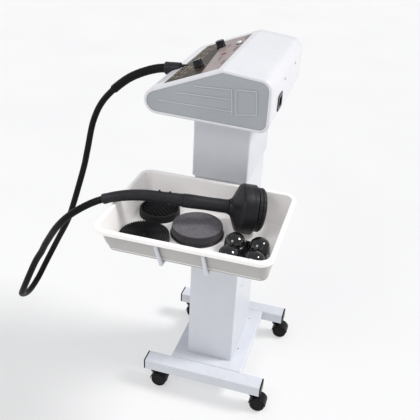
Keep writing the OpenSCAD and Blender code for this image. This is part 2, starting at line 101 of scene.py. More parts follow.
TRAY_FLOOR = 683
TRAY_BOTTOM = 680
TRAY_WALL = 3
RIM_TOP = 776
ARM_Y = 60
ARM_Z = 671
ARM_R = 5

SHELL_HALF = 215
CONSOLE_WALL = 3
CONSOLE_REAR = 143
CONSOLE = [(-324, 990.6, 35), (15, 1125.6, 8), (143, 1111.3, 32), (143, 974.1, 26)]
SLOPE_ANGLE = 21.7
SLOPE = Matrix.Translation((0, -146, 1061.5)) @ Matrix.Rotation(math.radians(SLOPE_ANGLE), 4, "X")
BOTTOM_ANGLE = -2.03
BOTTOM = Matrix.Translation((0, -165, 985)) @ Matrix.Rotation(math.radians(BOTTOM_ANGLE), 4, "X")
TO_REAR = Matrix.Rotation(-math.pi / 2, 4, "X")
ALONG_X = Matrix.Rotation(math.pi / 2, 4, "Y")
INTENSITY_AT = (110, 72)
INTENSITY_TRAVEL = 280
TIMER_AT = (-100, 75)
TIMER_TRAVEL = 300
BUTTON_AT = (-75, 139)
LAMP_AT = (20, 117)
INLET_AT = (102, 1023)

DRIVE_TILT = math.radians(6)
DRIVE = Matrix.Translation((40, -198, 1050)) @ Matrix.Rotation(math.pi / 2 + DRIVE_TILT, 4, "X")
DRIVE_DIR = np.array([0, -math.cos(DRIVE_TILT), -math.sin(DRIVE_TILT)])

BOOT_START = -252
BOOT_BEND = 300
BOOT_ANGLE = math.radians(26)
HAND_END = Vector((366, -252, 784))
HAND_TURN = Matrix.Rotation(math.radians(111.5), 4, "Z") @ Matrix.Rotation(math.radians(9), 4, "Y")
HAND_SHIFT = Vector((BOOT_BEND * math.sin(BOOT_ANGLE) - BOOT_START, 0,
                     BOOT_BEND * (1 - math.cos(BOOT_ANGLE))))
HAND = Matrix.Translation(HAND_END) @ HAND_TURN @ Matrix.Translation(HAND_SHIFT)
HAND_AXIS = HAND @ ALONG_X
HAND_DIR = np.array(HAND_TURN @ Vector((math.cos(BOOT_ANGLE), 0, math.sin(BOOT_ANGLE))))
BORE_R = 11
HEAD_R = 68
THROW = 2.5

SPONGE_AT = (284, -14)
SPONGE_R = 70
RIDGED_AT = (358, -138)
RIDGED_R = 68
CUPPED_AT = (216, -147)
CUPPED_R = 58
BALL_AT = (358, 134)
BALL_R = 29
BALL_OFF = 33

# The hose's route in metres, from the console's outlet to the handpiece.
ROUTE = [
    (0.040, -0.198, 1.050), (0.040, -0.265, 1.030), (0.045, -0.325, 0.995),
    (0.045, -0.390, 0.930), (0.050, -0.425, 0.860), (0.070, -0.440, 0.770),
    (0.080, -0.450, 0.715), (0.095, -0.470, 0.635), (0.100, -0.490, 0.570),
    (0.095, -0.515, 0.510), (0.090, -0.560, 0.425), (0.115, -0.590, 0.355),
    (0.170, -0.600, 0.310), (0.235, -0.595, 0.305), (0.295, -0.580, 0.340),
    (0.330, -0.545, 0.400), (0.335, -0.495, 0.505), (0.340, -0.465, 0.555),
    (0.355, -0.435, 0.605), (0.385, -0.375, 0.690), (0.385, -0.320, 0.745),
    (0.366, -0.252, 0.784),
]
ROUTE_PARTS = 20
HOSE_R = 9.5
GUARD_R = 12.5
GUARD_PARTS = 50

# ---- surfaces ----


def unit(v):
    """Vectors divided by their lengths."""
    return v / np.linalg.norm(v, axis=-1, keepdims=True)


def rounded(corners, steps=6, closed=True):
    """An outline whose corners [a, b, radius] are arcs tangent to both of their sides."""
    points = []
    last = len(corners) - 1
    for i, (a, b, r) in enumerate(corners):
        here = np.array([a, b], float)
        if r <= 0 or (not closed and i in (0, last)):
            points.append(here[None])
            continue
        u = unit(np.array(corners[i - 1][:2], float) - here)
        w = unit(np.array(corners[(i + 1) % len(corners)][:2], float) - here)
        half = math.acos(float(u @ w)) / 2
        centre = here + unit(u + w) * r / math.sin(half)
        start = here + u * r / math.tan(half) - centre
        stop = here + w * r / math.tan(half) - centre
        first = math.atan2(start[1], start[0])
        turn = (math.atan2(stop[1], stop[0]) - first + math.pi) % (2 * math.pi) - math.pi
        angle = first + turn * np.linspace(0, 1, steps + 1)
        points.append(centre + r * np.stack([np.cos(angle), np.sin(angle)], 1))
    return np.concatenate(points)


def inset(corners, d):
    """The corners of a convex outline moved inwards by d along their bisectors."""
    moved = []
    for i, (a, b, r) in enumerate(corners):
        here = np.array([a, b], float)
        u = unit(np.array(corners[i - 1][:2], float) - here)
        w = unit(np.array(corners[(i + 1) % len(corners)][:2], float) - here)
        p = here + unit(u + w) * d / math.sin(math.acos(float(u @ w)) / 2)
        moved.append((p[0], p[1], max(r - d, 0.4)))
    return moved


def oblong(x0, x1, y0, y1, r):
    """Corners of a rectangle, each with radius r, counter-clockwise from (x0, y0)."""
    return [(x0, y0, r), (x1, y0, r), (x1, y1, r), (x0, y1, r)]


def placed(points, place):
    """Points carried by a 4 by 4 matrix."""
    m = np.array(place)
    return points @ m[:3, :3].T + m[:3, 3]


class Skin:
    """Grids of points gathered into one surface, with one paint number per face."""

    def __init__(self):
        self.points = []
        self.faces = []
        self.paints = []
        self.total = 0
        self.paint = 0

    def add(self, points, faces, paints):
        """Takes in points, faces numbered from the first of them, and a paint for each face."""
        self.points.append(points.reshape(-1, 3))
        self.faces += [tuple(self.total + k for k in f) for f in faces]
        self.paints += paints
        self.total += len(self.points[-1])

    def grid(self, rows, ring=True, loop=False, caps=(True, True), paints=None):
        """Quads between neighbouring rows. A ring joins each row's ends, a loop joins the last
        row to the first, and a cap closes an end row with a fan about its middle. paints holds
        one paint number for each strip between two rows."""
        n, m = rows.shape[:2]
        strips = paints or [self.paint] * (n if loop else n - 1)
        coats = np.repeat(strips, m if ring else m - 1).tolist()
        i = np.arange(n if loop else n - 1)[:, None]
        j = np.arange(m if ring else m - 1)[None, :]
        up, on = (i + 1) % n, (j + 1) % m
        quads = np.stack([i * m + j, i * m + on, up * m + on, up * m + j], -1).reshape(-1, 4)
        faces = quads.tolist()
        points = [rows.reshape(-1, 3)]
        for wanted, row, flip in ((caps[0], 0, True), (caps[1], n - 1, False)):
            if loop or not ring or not wanted:
                continue
            centre = n * m + len(points) - 1
            points.append(rows[row].mean(0)[None])
            for k in range(m):
                a, b = row * m + k, row * m + (k + 1) % m
                faces.append([centre, b, a] if flip else [centre, a, b])
            coats += [strips[0 if flip else -1]] * m
        self.add(np.concatenate(points), faces, coats)

    def turned(self, profile, place=Matrix(), sides=64, wobble=None, loop=False):
        """A surface of revolution about local Z: row i is a circle of radius profile[i][0] at
        height profile[i][1]. wobble(angle, radius, height) changes the radius round a row."""
        profile = np.array(profile, float)
        start, stop = int(profile[0][0] == 0), len(profile) - int(profile[-1][0] == 0)
        profile = profile[start:stop]
        angle = np.linspace(0, 2 * math.pi, sides, endpoint=False)[None, :]
        r, z = profile[:, :1] + 0 * angle, profile[:, 1:] + 0 * angle
        if wobble:
            r = wobble(angle, r, z)
        rows = np.stack([r * np.cos(angle), r * np.sin(angle), z], -1)
        self.grid(placed(rows, place), loop=loop)

    def slab(self, corners, low, high, edge, place=Matrix(), steps=6):
        """A plate: its outline at rising heights, drawn in by a quarter round at both faces."""
        a = np.linspace(0, math.pi / 2, 5)
        below = zip(edge * (1 - np.sin(a)), low + edge * (1 - np.cos(a)))
        above = zip(edge * (1 - np.cos(a)), high - edge * (1 - np.sin(a)))
        rows = [flat(rounded(inset(corners, d), steps), z) for d, z in [*below, *above]]
        self.grid(placed(np.array(rows), place))

    def levels(self, outlines, place=Matrix(), steps=6, paints=None):
        """Rows from (corners, height) pairs with equal numbers of corners."""
        rows = [flat(rounded(c, steps), z) for c, z in outlines]
        self.grid(placed(np.array(rows), place), paints=paints)

    def swept(self, path, radii, sides=24, first=None, last=None):
        """A round tube about a path: row i is a circle of radii[i] across the path's direction
        there. The direction in which a row starts is carried along without twisting."""
        t = np.gradient(path, axis=0)
        if first is not None:
            t[0] = first
        if last is not None:
            t[-1] = last
        t = unit(t)
        u = np.empty_like(t)
        u[0] = unit(np.cross(t[0], [0.2, 0.3, 1.0]))
        for k in range(1, len(t)):
            u[k] = unit(u[k - 1] - (u[k - 1] @ t[k]) * t[k])
        w = np.cross(t, u)
        angle = np.linspace(0, 2 * math.pi, sides, endpoint=False)
        across = np.cos(angle)[None, :, None] * u[:, None]
        across = across + np.sin(angle)[None, :, None] * w[:, None]
        self.grid(path[:, None] + across * np.broadcast_to(radii, len(path))[:, None, None])


def flat(outline, z):
    """A plane outline as a row of points at height z."""
    return np.column_stack([outline, np.full(len(outline), float(z))])


def smoothed(points, first, last, parts):
    """Catmull-Rom curve through points, with its directions at both ends given."""
    p = np.array(points, float)
    before = p[1] - 2 * first * np.linalg.norm(p[1] - p[0])
    after = p[-2] + 2 * last * np.linalg.norm(p[-1] - p[-2])
    e = np.concatenate([before[None], p, after[None]])
    a, b, c, d = (e[k:len(e) - 3 + k, None] for k in range(4))
    t = (np.arange(parts) / parts)[None, :, None]
    curve = 0.5 * (2 * b + (c - a) * t + (2 * a - 5 * b + 4 * c - d) * t ** 2
                   + (3 * b - a - 3 * c + d) * t ** 3)
    return np.concatenate([curve.reshape(-1, 3), p[-1:]])


def piece(name, skin, materials, body="root", replaces=None, sharp=32, outward=True):
    """Makes the mesh, in metres, and puts it on its body in place of its CAD node. Faces that
    meet at more than the sharp angle, in degrees, keep a crisp edge."""
    mesh = bpy.data.meshes.new(name)
    points = np.concatenate(skin.points) * MM
    mesh.from_pydata(points.tolist(), [], skin.faces)
    for material in materials if isinstance(materials, list) else [materials]:
        mesh.materials.append(material)
    mesh.polygons.foreach_set("material_index", skin.paints)
    if outward:
        shape = bmesh.new()
        shape.from_mesh(mesh)
        bmesh.ops.recalc_face_normals(shape, faces=shape.faces)
        shape.to_mesh(mesh)
        shape.free()
    mesh.shade_smooth()
    mesh.set_sharp_from_angle(angle=math.radians(sharp))
    made = bpy.data.objects.new(name, mesh)
    bpy.context.scene.collection.objects.link(made)
    if body:
        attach(made, body)
    if replaces:
        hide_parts(replaces)
    return made


def cut(made, *tools):
    """Takes closed skins away from a piece, and keeps its mesh plain."""
    for tool in tools:
        cutter = piece("cutter", tool, made.data.materials[0], None)
        modifier = made.modifiers.new("cut", "BOOLEAN")
        modifier.operation = "DIFFERENCE"
        modifier.solver = "EXACT"
        modifier.object = cutter
        bpy.context.view_layer.update()
        finished = made.evaluated_get(bpy.context.evaluated_depsgraph_get())
        shape = bpy.data.meshes.new_from_object(finished)
        made.modifiers.clear()
        made.data = shape
        bpy.data.meshes.remove(cutter.data)
    made.data.shade_smooth()
    made.data.set_sharp_from_angle(angle=math.radians(32))


# ---- shader groups ----


class Graph:
    """Short ways to add and join the nodes of one node tree."""

    def __init__(self, tree):
        self.tree = tree

    def add(self, kind, links=(), **values):
        """A node with its settings or input values, and links as {input: source socket}."""
        node = self.tree.nodes.new("ShaderNode" + kind)
        for key, value in values.items():
            if hasattr(node, key):
                setattr(node, key, value)
            else:
                node.inputs[key.replace("_", " ")].default_value = value
        for socket, source in dict(links).items():
            self.tree.links.new(source, node.inputs[socket])
        return node

    def maths(self, operation, a, b=0.0, c=0.0):
        """The result of one operation on up to three sockets or numbers."""
        node = self.tree.nodes.new("ShaderNodeMath")
        node.operation = operation
        for k, value in enumerate((a, b, c)):
            if isinstance(value, (int, float)):
                node.inputs[k].default_value = value
            else:
                self.tree.links.new(value, node.inputs[k])
        return node.outputs[0]

    def mixed(self, share, a, b):
        """A colour between a and b. Each is a socket or three numbers."""
        node = self.tree.nodes.new("ShaderNodeMix")
        node.data_type = "RGBA"
        for socket, value in ((node.inputs[0], share), (node.inputs[6], a), (node.inputs[7], b)):
            if isinstance(value, (int, float)):
                socket.default_value = value
            elif isinstance(value, (list, tuple)):
                socket.default_value = (*value, 1)
            else:
                self.tree.links.new(value, socket)
        return node.outputs[2]

    def spread(self, value, low, high, to_low=0.0, to_high=1.0):
        """The value's range from low to high stretched over another range."""
        return self.add("MapRange", {"Value": value}, From_Min=low, From_Max=high,
                        To_Min=to_low, To_Max=to_high).outputs["Result"]


def shader_group(name, inputs, outputs, build):
    """A node group with named sockets, filled by build(graph, inputs) -> values to put out."""
    tree = bpy.data.node_groups.new(name, "ShaderNodeTree")
    for label, kind, value in inputs:
        socket = tree.interface.new_socket(label, in_out="INPUT", socket_type="NodeSocket" + kind)
        if value is not None:
            socket.default_value = value
    for label in outputs:
        tree.interface.new_socket(label, in_out="OUTPUT", socket_type="NodeSocketFloat")
    graph = Graph(tree)
    source = tree.nodes.new("NodeGroupInput")
    sink = tree.nodes.new("NodeGroupOutput")
    for label, value in build(graph, source.outputs).items():
        tree.links.new(value, sink.inputs[label])
    return tree


def build_grain(g, i):
    """Moulded or sprayed texture: fine cells over broad patches of slightly different shade."""
    fine = g.add("TexNoise", {"Vector": i["Position"], "Scale": i["Grain"]}, Detail=2.0)
    broad = g.add("TexNoise", {"Vector": i["Position"], "Scale": i["Patches"]}, Detail=3.0)
    return {"Height": fine.outputs["Fac"], "Mottle": g.spread(broad.outputs["Fac"], 0.35, 0.65)}


def build_wear(g, i):
    """Rubbed streaks and finger marks: stretched noise cut at a threshold, broken by patches."""
    stretch = g.add("Mapping", {"Vector": i["Position"]}, Scale=(1.0, 0.12, 1.0),
                    Rotation=(0.3, 0.2, 0.5))
    streaks = g.add("TexNoise", {"Vector": stretch.outputs[0], "Scale": i["Streaks"]}, Detail=4.0)
    patches = g.add("TexNoise", {"Vector": i["Position"]}, Scale=14.0, Detail=2.0)
    cut = g.spread(streaks.outputs["Fac"], 0.56, 0.74)
    return {"Marks": g.maths("MULTIPLY", cut, g.spread(patches.outputs["Fac"], 0.42, 0.62))}


def build_dust(g, i):
    """Dust that settles on faces that look up, thicker in patches."""
    up = g.add("SeparateXYZ", {0: g.add("NewGeometry").outputs["Normal"]}).outputs["Z"]
    patches = g.add("TexNoise", {"Vector": i["Position"]}, Scale=38.0, Detail=5.0)
    level = g.spread(up, 0.2, 0.95)
    return {"Dust": g.maths("MULTIPLY", level, g.spread(patches.outputs["Fac"], 0.38, 0.72))}


GRAIN = shader_group("surface_grain",
                     [("Position", "Vector", None), ("Grain", "Float", 900.0),
                      ("Patches", "Float", 9.0)], ["Height", "Mottle"], build_grain)
WEAR = shader_group("handling_wear", [("Position", "Vector", None), ("Streaks", "Float", 60.0)],
                    ["Marks"], build_wear)
DUST = shader_group("settled_dust", [("Position", "Vector", None)], ["Dust"], build_dust)

# ---- materials ----

DUST_GREY = (0.42, 0.41, 0.40)


def begin_material(name):
    """A new material with one shader, and the position that its patterns read."""
    material = bpy.data.materials.new(name)
    material.use_nodes = True
    material.node_tree.nodes.clear()
    g = Graph(material.node_tree)
    position = g.add("TexCoord").outputs["Object"]
    shader = g.add("BsdfPrincipled")
    g.add("OutputMaterial", {"Surface": shader.outputs[0]})
    return material, g, position, shader


def use_group(g, tree, position, **values):
    """The outputs of a node group placed in a material with its own values."""
    node = g.add("Group", node_tree=tree)
    g.tree.links.new(position, node.inputs["Position"])
    for key, value in values.items():
        node.inputs[key].default_value = value
    return node.outputs


def surface(name, colour, shade, rough, grain=900.0, depth=0.00003, patches=9.0, marks=0.2,
            streaks=60.0, dust=0.0, **constant):
    """A finish with mottled colour, grain in relief, rubbed marks and settled dust."""
    material, g, position, shader = begin_material(name)
    texture = use_group(g, GRAIN, position, Grain=grain, Patches=patches)
    worn = use_group(g, WEAR, position, Streaks=streaks)["Marks"]
    base = g.mixed(texture["Mottle"], colour, shade)
    if dust:
        settled = use_group(g, DUST, position)["Dust"]
        base = g.mixed(g.maths("MULTIPLY", settled, dust), base, DUST_GREY)
    g.tree.links.new(base, shader.inputs["Base Color"])
    roughness = g.maths("MULTIPLY_ADD", worn, marks, rough)
    g.tree.links.new(roughness, shader.inputs["Roughness"])
    bump = g.add("Bump", {"Height": texture["Height"]}, Distance=depth)
    g.tree.links.new(bump.outputs[0], shader.inputs["Normal"])
    for key, value in constant.items():
        shader.inputs[key.replace("_", " ")].default_value = value
    return material


def foam(name, pale_a, pale_b, pore):
    """Open-cell foam: dark pores between paler cell walls, in two sizes."""
    material, g, position, shader = begin_material(name)
    cells = g.add("TexVoronoi", {"Vector": position}, Scale=620.0)
    pores = g.add("TexVoronoi", {"Vector": position}, Scale=1500.0)
    both = g.maths("MULTIPLY_ADD", pores.outputs["Distance"], 0.5, cells.outputs["Distance"])
    texture = use_group(g, GRAIN, position, Grain=300.0, Patches=170.0)
    pale = g.mixed(texture["Mottle"], pale_a, pale_b)
    base = g.mixed(g.spread(both, 0.45, 1.0), pale, pore)
    g.tree.links.new(base, shader.inputs["Base Color"])
    shader.inputs["Roughness"].default_value = 0.95
    shader.inputs["Sheen Weight"].default_value = 0.25
    bump = g.add("Bump", {"Height": both}, Distance=0.0006, Strength=0.8)
    bump.invert = True
    g.tree.links.new(bump.outputs[0], shader.inputs["Normal"])
    return material


def brushed(name, colour, rough, across):
    """Turned or drawn metal: fine lines stretched along one axis, as relief and roughness."""
    material, g, position, shader = begin_material(name)
    lines = g.add("Mapping", {"Vector": position}, Scale=across)
    noise = g.add("TexNoise", {"Vector": lines.outputs[0]}, Scale=1.0, Detail=3.0)
    texture = use_group(g, GRAIN, position, Grain=500.0, Patches=60.0)
    shade = [c * 0.82 for c in colour]
    g.tree.links.new(g.mixed(texture["Mottle"], colour, shade), shader.inputs["Base Color"])
    roughness = g.spread(noise.outputs["Fac"], 0.3, 0.7, rough - 0.08, rough + 0.12)
    g.tree.links.new(roughness, shader.inputs["Roughness"])
    bump = g.add("Bump", {"Height": noise.outputs["Fac"]}, Distance=0.00002)
    g.tree.links.new(bump.outputs[0], shader.inputs["Normal"])
    shader.inputs["Metallic"].default_value = 1.0
    return material


coat_white = surface("white_powder_coat", (0.630, 0.648, 0.700), (0.605, 0.623, 0.672), 0.34,
                     grain=650.0, depth=0.00005, marks=0.22, dust=0.10, Coat_Weight=0.15)
cover_white = surface("white_sheet_cover", (0.655, 0.672, 0.715), (0.630, 0.648, 0.690), 0.36,
                      grain=700.0, depth=0.00004, marks=0.2, dust=0.05)
shell_white = surface("white_console_moulding", (0.700, 0.700, 0.730), (0.672, 0.674, 0.705), 0.30,
                      grain=1100.0, depth=0.00002, patches=6.0, marks=0.22, dust=0.06,
                      Coat_Weight=0.2)
cheek_grey = surface("pale_grey_cheek", (0.352, 0.372, 0.392), (0.332, 0.352, 0.372), 0.42,
                     grain=1400.0, depth=0.00004, patches=8.0, marks=0.2, dust=0.05)
# The ribs wear a lighter copy of the cheek's grey: painted highlight, as if their tops catch the
# light from above.
rib_highlight_paint = surface("cheek_rib_painted_highlight", (0.450, 0.470, 0.490), (0.420, 0.440, 0.460), 0.36,
                   grain=1400.0, depth=0.00003, patches=8.0, marks=0.2)
# The tray is one white moulding. Its outside wears this darker copy of the white: painted shade.
outer_tray_shade_paint = surface("outer_tray_painted_shade", (0.430, 0.420, 0.408), (0.400, 0.390, 0.376), 0.33,
                     grain=900.0, depth=0.00003, patches=7.0, marks=0.3, streaks=35.0, dust=0.10)
# The tray's inside: a paler copy of the same white with a weak emission, painted light that stands
# in for bounced and shining-through light.
inner_tray_glow_paint = surface("inner_tray_painted_glow", (0.800, 0.780, 0.768), (0.760, 0.738, 0.724), 0.36,
                      grain=900.0, depth=0.00003, patches=7.0, marks=0.3, streaks=35.0, dust=0.06,
                      Emission_Color=(1.0, 0.97, 0.95, 1), Emission_Strength=0.16)
castor_black = surface("black_castor_plastic", (0.008, 0.008, 0.009), (0.012, 0.012, 0.013), 0.30,
                       grain=1200.0, depth=0.00004, marks=0.3, dust=0.01,
                       Specular_IOR_Level=0.12)
tread_black = surface("castor_tread_rubber", (0.010, 0.010, 0.011), (0.017, 0.016, 0.016), 0.62,
                      grain=900.0, depth=0.00010, marks=0.25, dust=0.02,
                      Specular_IOR_Level=0.12)
knob_black = surface("black_knob_plastic", (0.008, 0.008, 0.010), (0.012, 0.012, 0.014), 0.22,
                     grain=1500.0, depth=0.00003, marks=0.25, dust=0.015,
                     Specular_IOR_Level=0.25)
hose_black = surface("hose_sheath_rubber", (0.004, 0.004, 0.004), (0.008, 0.008, 0.007), 0.46,
                     grain=850.0, depth=0.00006, marks=0.25, streaks=90.0, dust=0.012,
                     Specular_IOR_Level=0.1)
grip_black = surface("grip_rubber", (0.015, 0.015, 0.018), (0.022, 0.022, 0.026), 0.42,
                     grain=1300.0, depth=0.00006, marks=0.22, dust=0.02,
                     Specular_IOR_Level=0.16)
head_black = surface("black_head_moulding", (0.013, 0.013, 0.015), (0.020, 0.019, 0.021), 0.33,
                     grain=1000.0, depth=0.00004, marks=0.35, streaks=45.0, dust=0.025,
                     Specular_IOR_Level=0.18)
pad_black = surface("applicator_rubber", (0.014, 0.014, 0.016), (0.026, 0.025, 0.027), 0.50,
                    grain=800.0, depth=0.00010, marks=0.25, dust=0.03,
                    Specular_IOR_Level=0.15)
ridge_rubber = surface("ridged_applicator_rubber", (0.018, 0.018, 0.020), (0.030, 0.029, 0.032),
                       0.42, grain=800.0, depth=0.00006, marks=0.2, dust=0.03,
                       Specular_IOR_Level=0.25)
ball_gloss = surface("polished_black_balls", (0.004, 0.004, 0.005), (0.006, 0.006, 0.007), 0.07,
                     grain=300.0, depth=0.000005, marks=0.12, Coat_Weight=0.6)
film_brown = surface("dark_brown_film", (0.020, 0.013, 0.008), (0.040, 0.026, 0.016), 0.46,
                     grain=500.0, depth=0.00002, patches=70.0, marks=0.2, dust=0.01,
                     Specular_IOR_Level=0.15)
film_mauve = surface("mauve_film", (0.285, 0.225, 0.222), (0.330, 0.265, 0.258), 0.42,
                     grain=500.0, depth=0.00002, patches=30.0, marks=0.2, dust=0.03,
                     Specular_IOR_Level=0.3)
print_cream = surface("cream_print", (0.520, 0.425, 0.290), (0.440, 0.350, 0.230), 0.45,
                      grain=900.0, patches=90.0)
print_white = surface("white_print", (0.80, 0.80, 0.78), (0.70, 0.70, 0.68), 0.40, grain=900.0)
button_white = surface("white_button_cap", (0.86, 0.86, 0.85), (0.80, 0.80, 0.79), 0.20,
                       grain=900.0, depth=0.00001, marks=0.2, Coat_Weight=0.4)
lamp_red = surface("red_lamp_lens", (0.190, 0.035, 0.030), (0.240, 0.060, 0.045), 0.16,
                   grain=400.0, patches=120.0, depth=0.00004, Coat_Weight=0.5)
foam_grey = foam("grey_open_cell_foam", (0.105, 0.098, 0.112), (0.195, 0.182, 0.204),
                 (0.050, 0.046, 0.054))
# A darker copy of the same foam for the disc's side: painted shade.
foam_side_shade_paint = foam("foam_side_painted_shade", (0.026, 0.024, 0.028), (0.038, 0.034, 0.040),
                 (0.012, 0.010, 0.013))
steel = brushed("machined_steel", (0.62, 0.62, 0.64), 0.30, (900.0, 900.0, 60.0))
zinc = brushed("zinc_screw", (0.66, 0.66, 0.68), 0.36, (1200.0, 200.0, 1200.0))
motor_paint = surface("motor_enamel", (0.12, 0.125, 0.135), (0.10, 0.105, 0.115), 0.4,
                      grain=500.0, depth=0.00008, marks=0.2)
core_copper = brushed("rotor_laminations", (0.42, 0.25, 0.14), 0.42, (80.0, 2500.0, 80.0))
board_green = surface("circuit_board", (0.020, 0.150, 0.060), (0.015, 0.110, 0.045), 0.35,
                      grain=900.0, patches=140.0)
bush_grey = surface("grey_nylon_bush", (0.09, 0.09, 0.095), (0.12, 0.12, 0.12), 0.5)

# ---- hose ----


def build_hose():
    """The hose: a round tube along the smoothed route, whose far end meets the handpiece's bend
    boot.
    """
    path = smoothed(np.array(ROUTE) / MM, DRIVE_DIR, HAND_DIR, ROUTE_PARTS)
    skin = Skin()
    skin.swept(path, HOSE_R, 28, DRIVE_DIR, HAND_DIR)
    hose = piece("drive_hose", skin, hose_black, None, "hose")
    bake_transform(hose)
    guard = build_guard(path[:GUARD_PARTS + 1])


def build_guard(path):
    """The thick guard over the hose's first stretch: a ring sunk at every fourth step, and a
    lip whose radius falls with the square of the distance at its end."""
    share = np.linspace(0, 1, len(path))
    lip = 1 - 0.18 * np.clip((share - 0.985) / 0.015, 0, 1) ** 2
    rings = 0.25 * (np.arange(len(path)) % 4 == 0) * (share > 0.03) * (share < 0.95)
    skin = Skin()
    skin.swept(path, GUARD_R * lip - rings, 32, DRIVE_DIR, None)
    return piece("hose_guard_sheath", skin, hose_black, "root", "hose_guard")


def build_sleeve():
    """The drive outlet's cone, turned: wide at its outer end, with a lip and two rings."""
    profile = rounded([(7, -45, 0), (16.4, -45, 0), (17.4, -16, 3), (16.9, -14.5, 0.5),
                       (16.9, -13.5, 0.5), (17.5, -12, 0.5), (18, -2, 1.2), (17.0, 0, 1.0),
                       (12.6, 0, 0)], 4, False)
    skin = Skin()
    skin.turned([*profile, (12.6, -3), (7, -3)], DRIVE, 64, loop=True)
    piece("outlet_sleeve", skin, grip_black, "root", "connector_sleeve")


build_hose()
build_sleeve()

# ---- base ----


def build_bars():
    """The two foot bars: square tubes, as an outer and an inner outline joined at both ends."""
    for node in ("foot_bar_tray_side", "foot_bar_far_side"):
        low, high = (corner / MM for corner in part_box(node))
        outer = oblong(low.x, high.x, low.z, high.z, 3.5)
        outlines = [rounded(outer), rounded(inset(outer, SHEET))]
        ends = ((0, low.y), (0, high.y), (1, high.y), (1, low.y))
        rows = [np.insert(outlines[wall], 1, y, axis=1) for wall, y in ends]
        skin = Skin()
        skin.grid(np.array(rows), loop=True)
        piece(node + "_tube", skin, coat_white, "root", node)


def build_caps():
    """The caps that close the bars: plates with rounded faces."""
    skin = Skin()
    for x in (-BAR_X, BAR_X):
        outline = oblong(x - BAR_HALF_WIDTH, x + BAR_HALF_WIDTH, BAR_BOTTOM, BASE_TOP, 3.8)
        for near in (-CAP_END, BAR_END):
            skin.slab(outline, near, near + CAP_END - BAR_END, 1.6, TO_REAR.inverted())
    piece("bar_cap_set", skin, castor_black, "root", "bar_end_caps")


def build_pan():
    """The folded pan: a sheet's cross-section carried along its bent outline from one fold to
    the other, and a weld bead along both bars."""
    outer = [(-PAN_HALF, PAN_FOLD, 0), (-PAN_HALF, BASE_TOP, 4), (PAN_HALF, BASE_TOP, 4),
             (PAN_HALF, PAN_FOLD, 0)]
    half, top = PAN_HALF - SHEET, BASE_TOP - SHEET
    inner = [(-half, PAN_FOLD, 0), (-half, top, 2), (half, top, 2), (half, PAN_FOLD, 0)]
    outer, inner = rounded(outer, 6, False), rounded(inner, 6, False)
    corners = ((outer, -PAN_X), (outer, PAN_X), (inner, PAN_X), (inner, -PAN_X))
    skin = Skin()
    skin.grid(np.stack([np.insert(side, 0, x, axis=1) for side, x in corners], 1))
    for x in (-PAN_X, PAN_X):
        skin.swept(weld_path(x), 1.8, 8)
    piece("pan_pressing", skin, coat_white, "root", "base_pan")


def weld_path(x):
    """Middle of a weld bead along the joint of the pan and a bar: a line with two small sine
    waves across it and upwards."""
    y = np.linspace(3 - PAN_HALF, PAN_HALF - 3, 90)
    wave = 0.25 * np.sin(y * 1.7) + 0.15 * np.sin(y * 0.9 + 1)
    inward = -math.copysign(1, x)
    return np.column_stack([x + inward * (0.6 + 0.2 * wave), y, BASE_TOP - 0.4 + wave * 0.4])


def screw_head(skin, place, r=4.0, high=1.9):
    """A domed head, high * sqrt(1 - 0.75 t squared) at the share t of its radius, with a cross
    recess sunk near the middle, where either coordinate is small."""
    rings = np.linspace(0.06, 1, 14)[::-1]
    angle = np.linspace(0, 2 * math.pi, 48, endpoint=False)
    radius = r * rings[:, None] + 0 * angle
    x, y = radius * np.cos(angle), radius * np.sin(angle)
    dome = high * np.sqrt(np.clip(1 - 0.75 * rings ** 2, 0, 1))[:, None] + 0 * angle
    arm = np.minimum(np.abs(x), np.abs(y)) < 0.13 * r
    cross = arm & (radius < 0.62 * r)
    rows = np.stack([x, y, np.where(cross, dome - 0.9, dome)], -1)
    foot = np.stack([x[0], y[0], 0 * angle], -1)
    skin.grid(placed(np.concatenate([foot[None], rows]), place))


def build_screws():
    """The screws of the pan, the column's sides and the console's rear face."""
    on_pan = [Matrix.Translation((x, y, BASE_TOP)) for x in (-110, 60) for y in (-86, 86)]
    on_column = [Matrix.Translation((50, side * COLUMN_HALF[1], z))
                 @ Matrix.Rotation(-side * math.pi / 2, 4, "X")
                 for side in (-1, 1) for z in (370, 640)]
    on_rear = [Matrix.Translation((x, CONSOLE_REAR, 1068)) @ TO_REAR for x in (-109, 49)]
    sets = (("pan_screw_heads", "base_screws", on_pan),
            ("column_screw_heads", "column_screws", on_column),
            ("rear_screw_heads", "rear_screws", on_rear))
    for name, node, places in sets:
        skin = Skin()
        for place in places:
            screw_head(skin, place)
        piece(name, skin, zinc, "root", node)


build_bars()
build_caps()
build_pan()
build_screws()

# ---- castors ----


def arc_cover(skin, axle, start, stop, section):
    """A cover bent about the axle: a closed section of (x, radius) carried round an arc."""
    angle = np.radians(np.linspace(start, stop, 25))[:, None]
    x, r = section[None, :, 0], section[None, :, 1]
    rows = np.stack([x + 0 * angle, r * np.cos(angle), r * np.sin(angle)], -1)
    skin.grid(rows + axle)


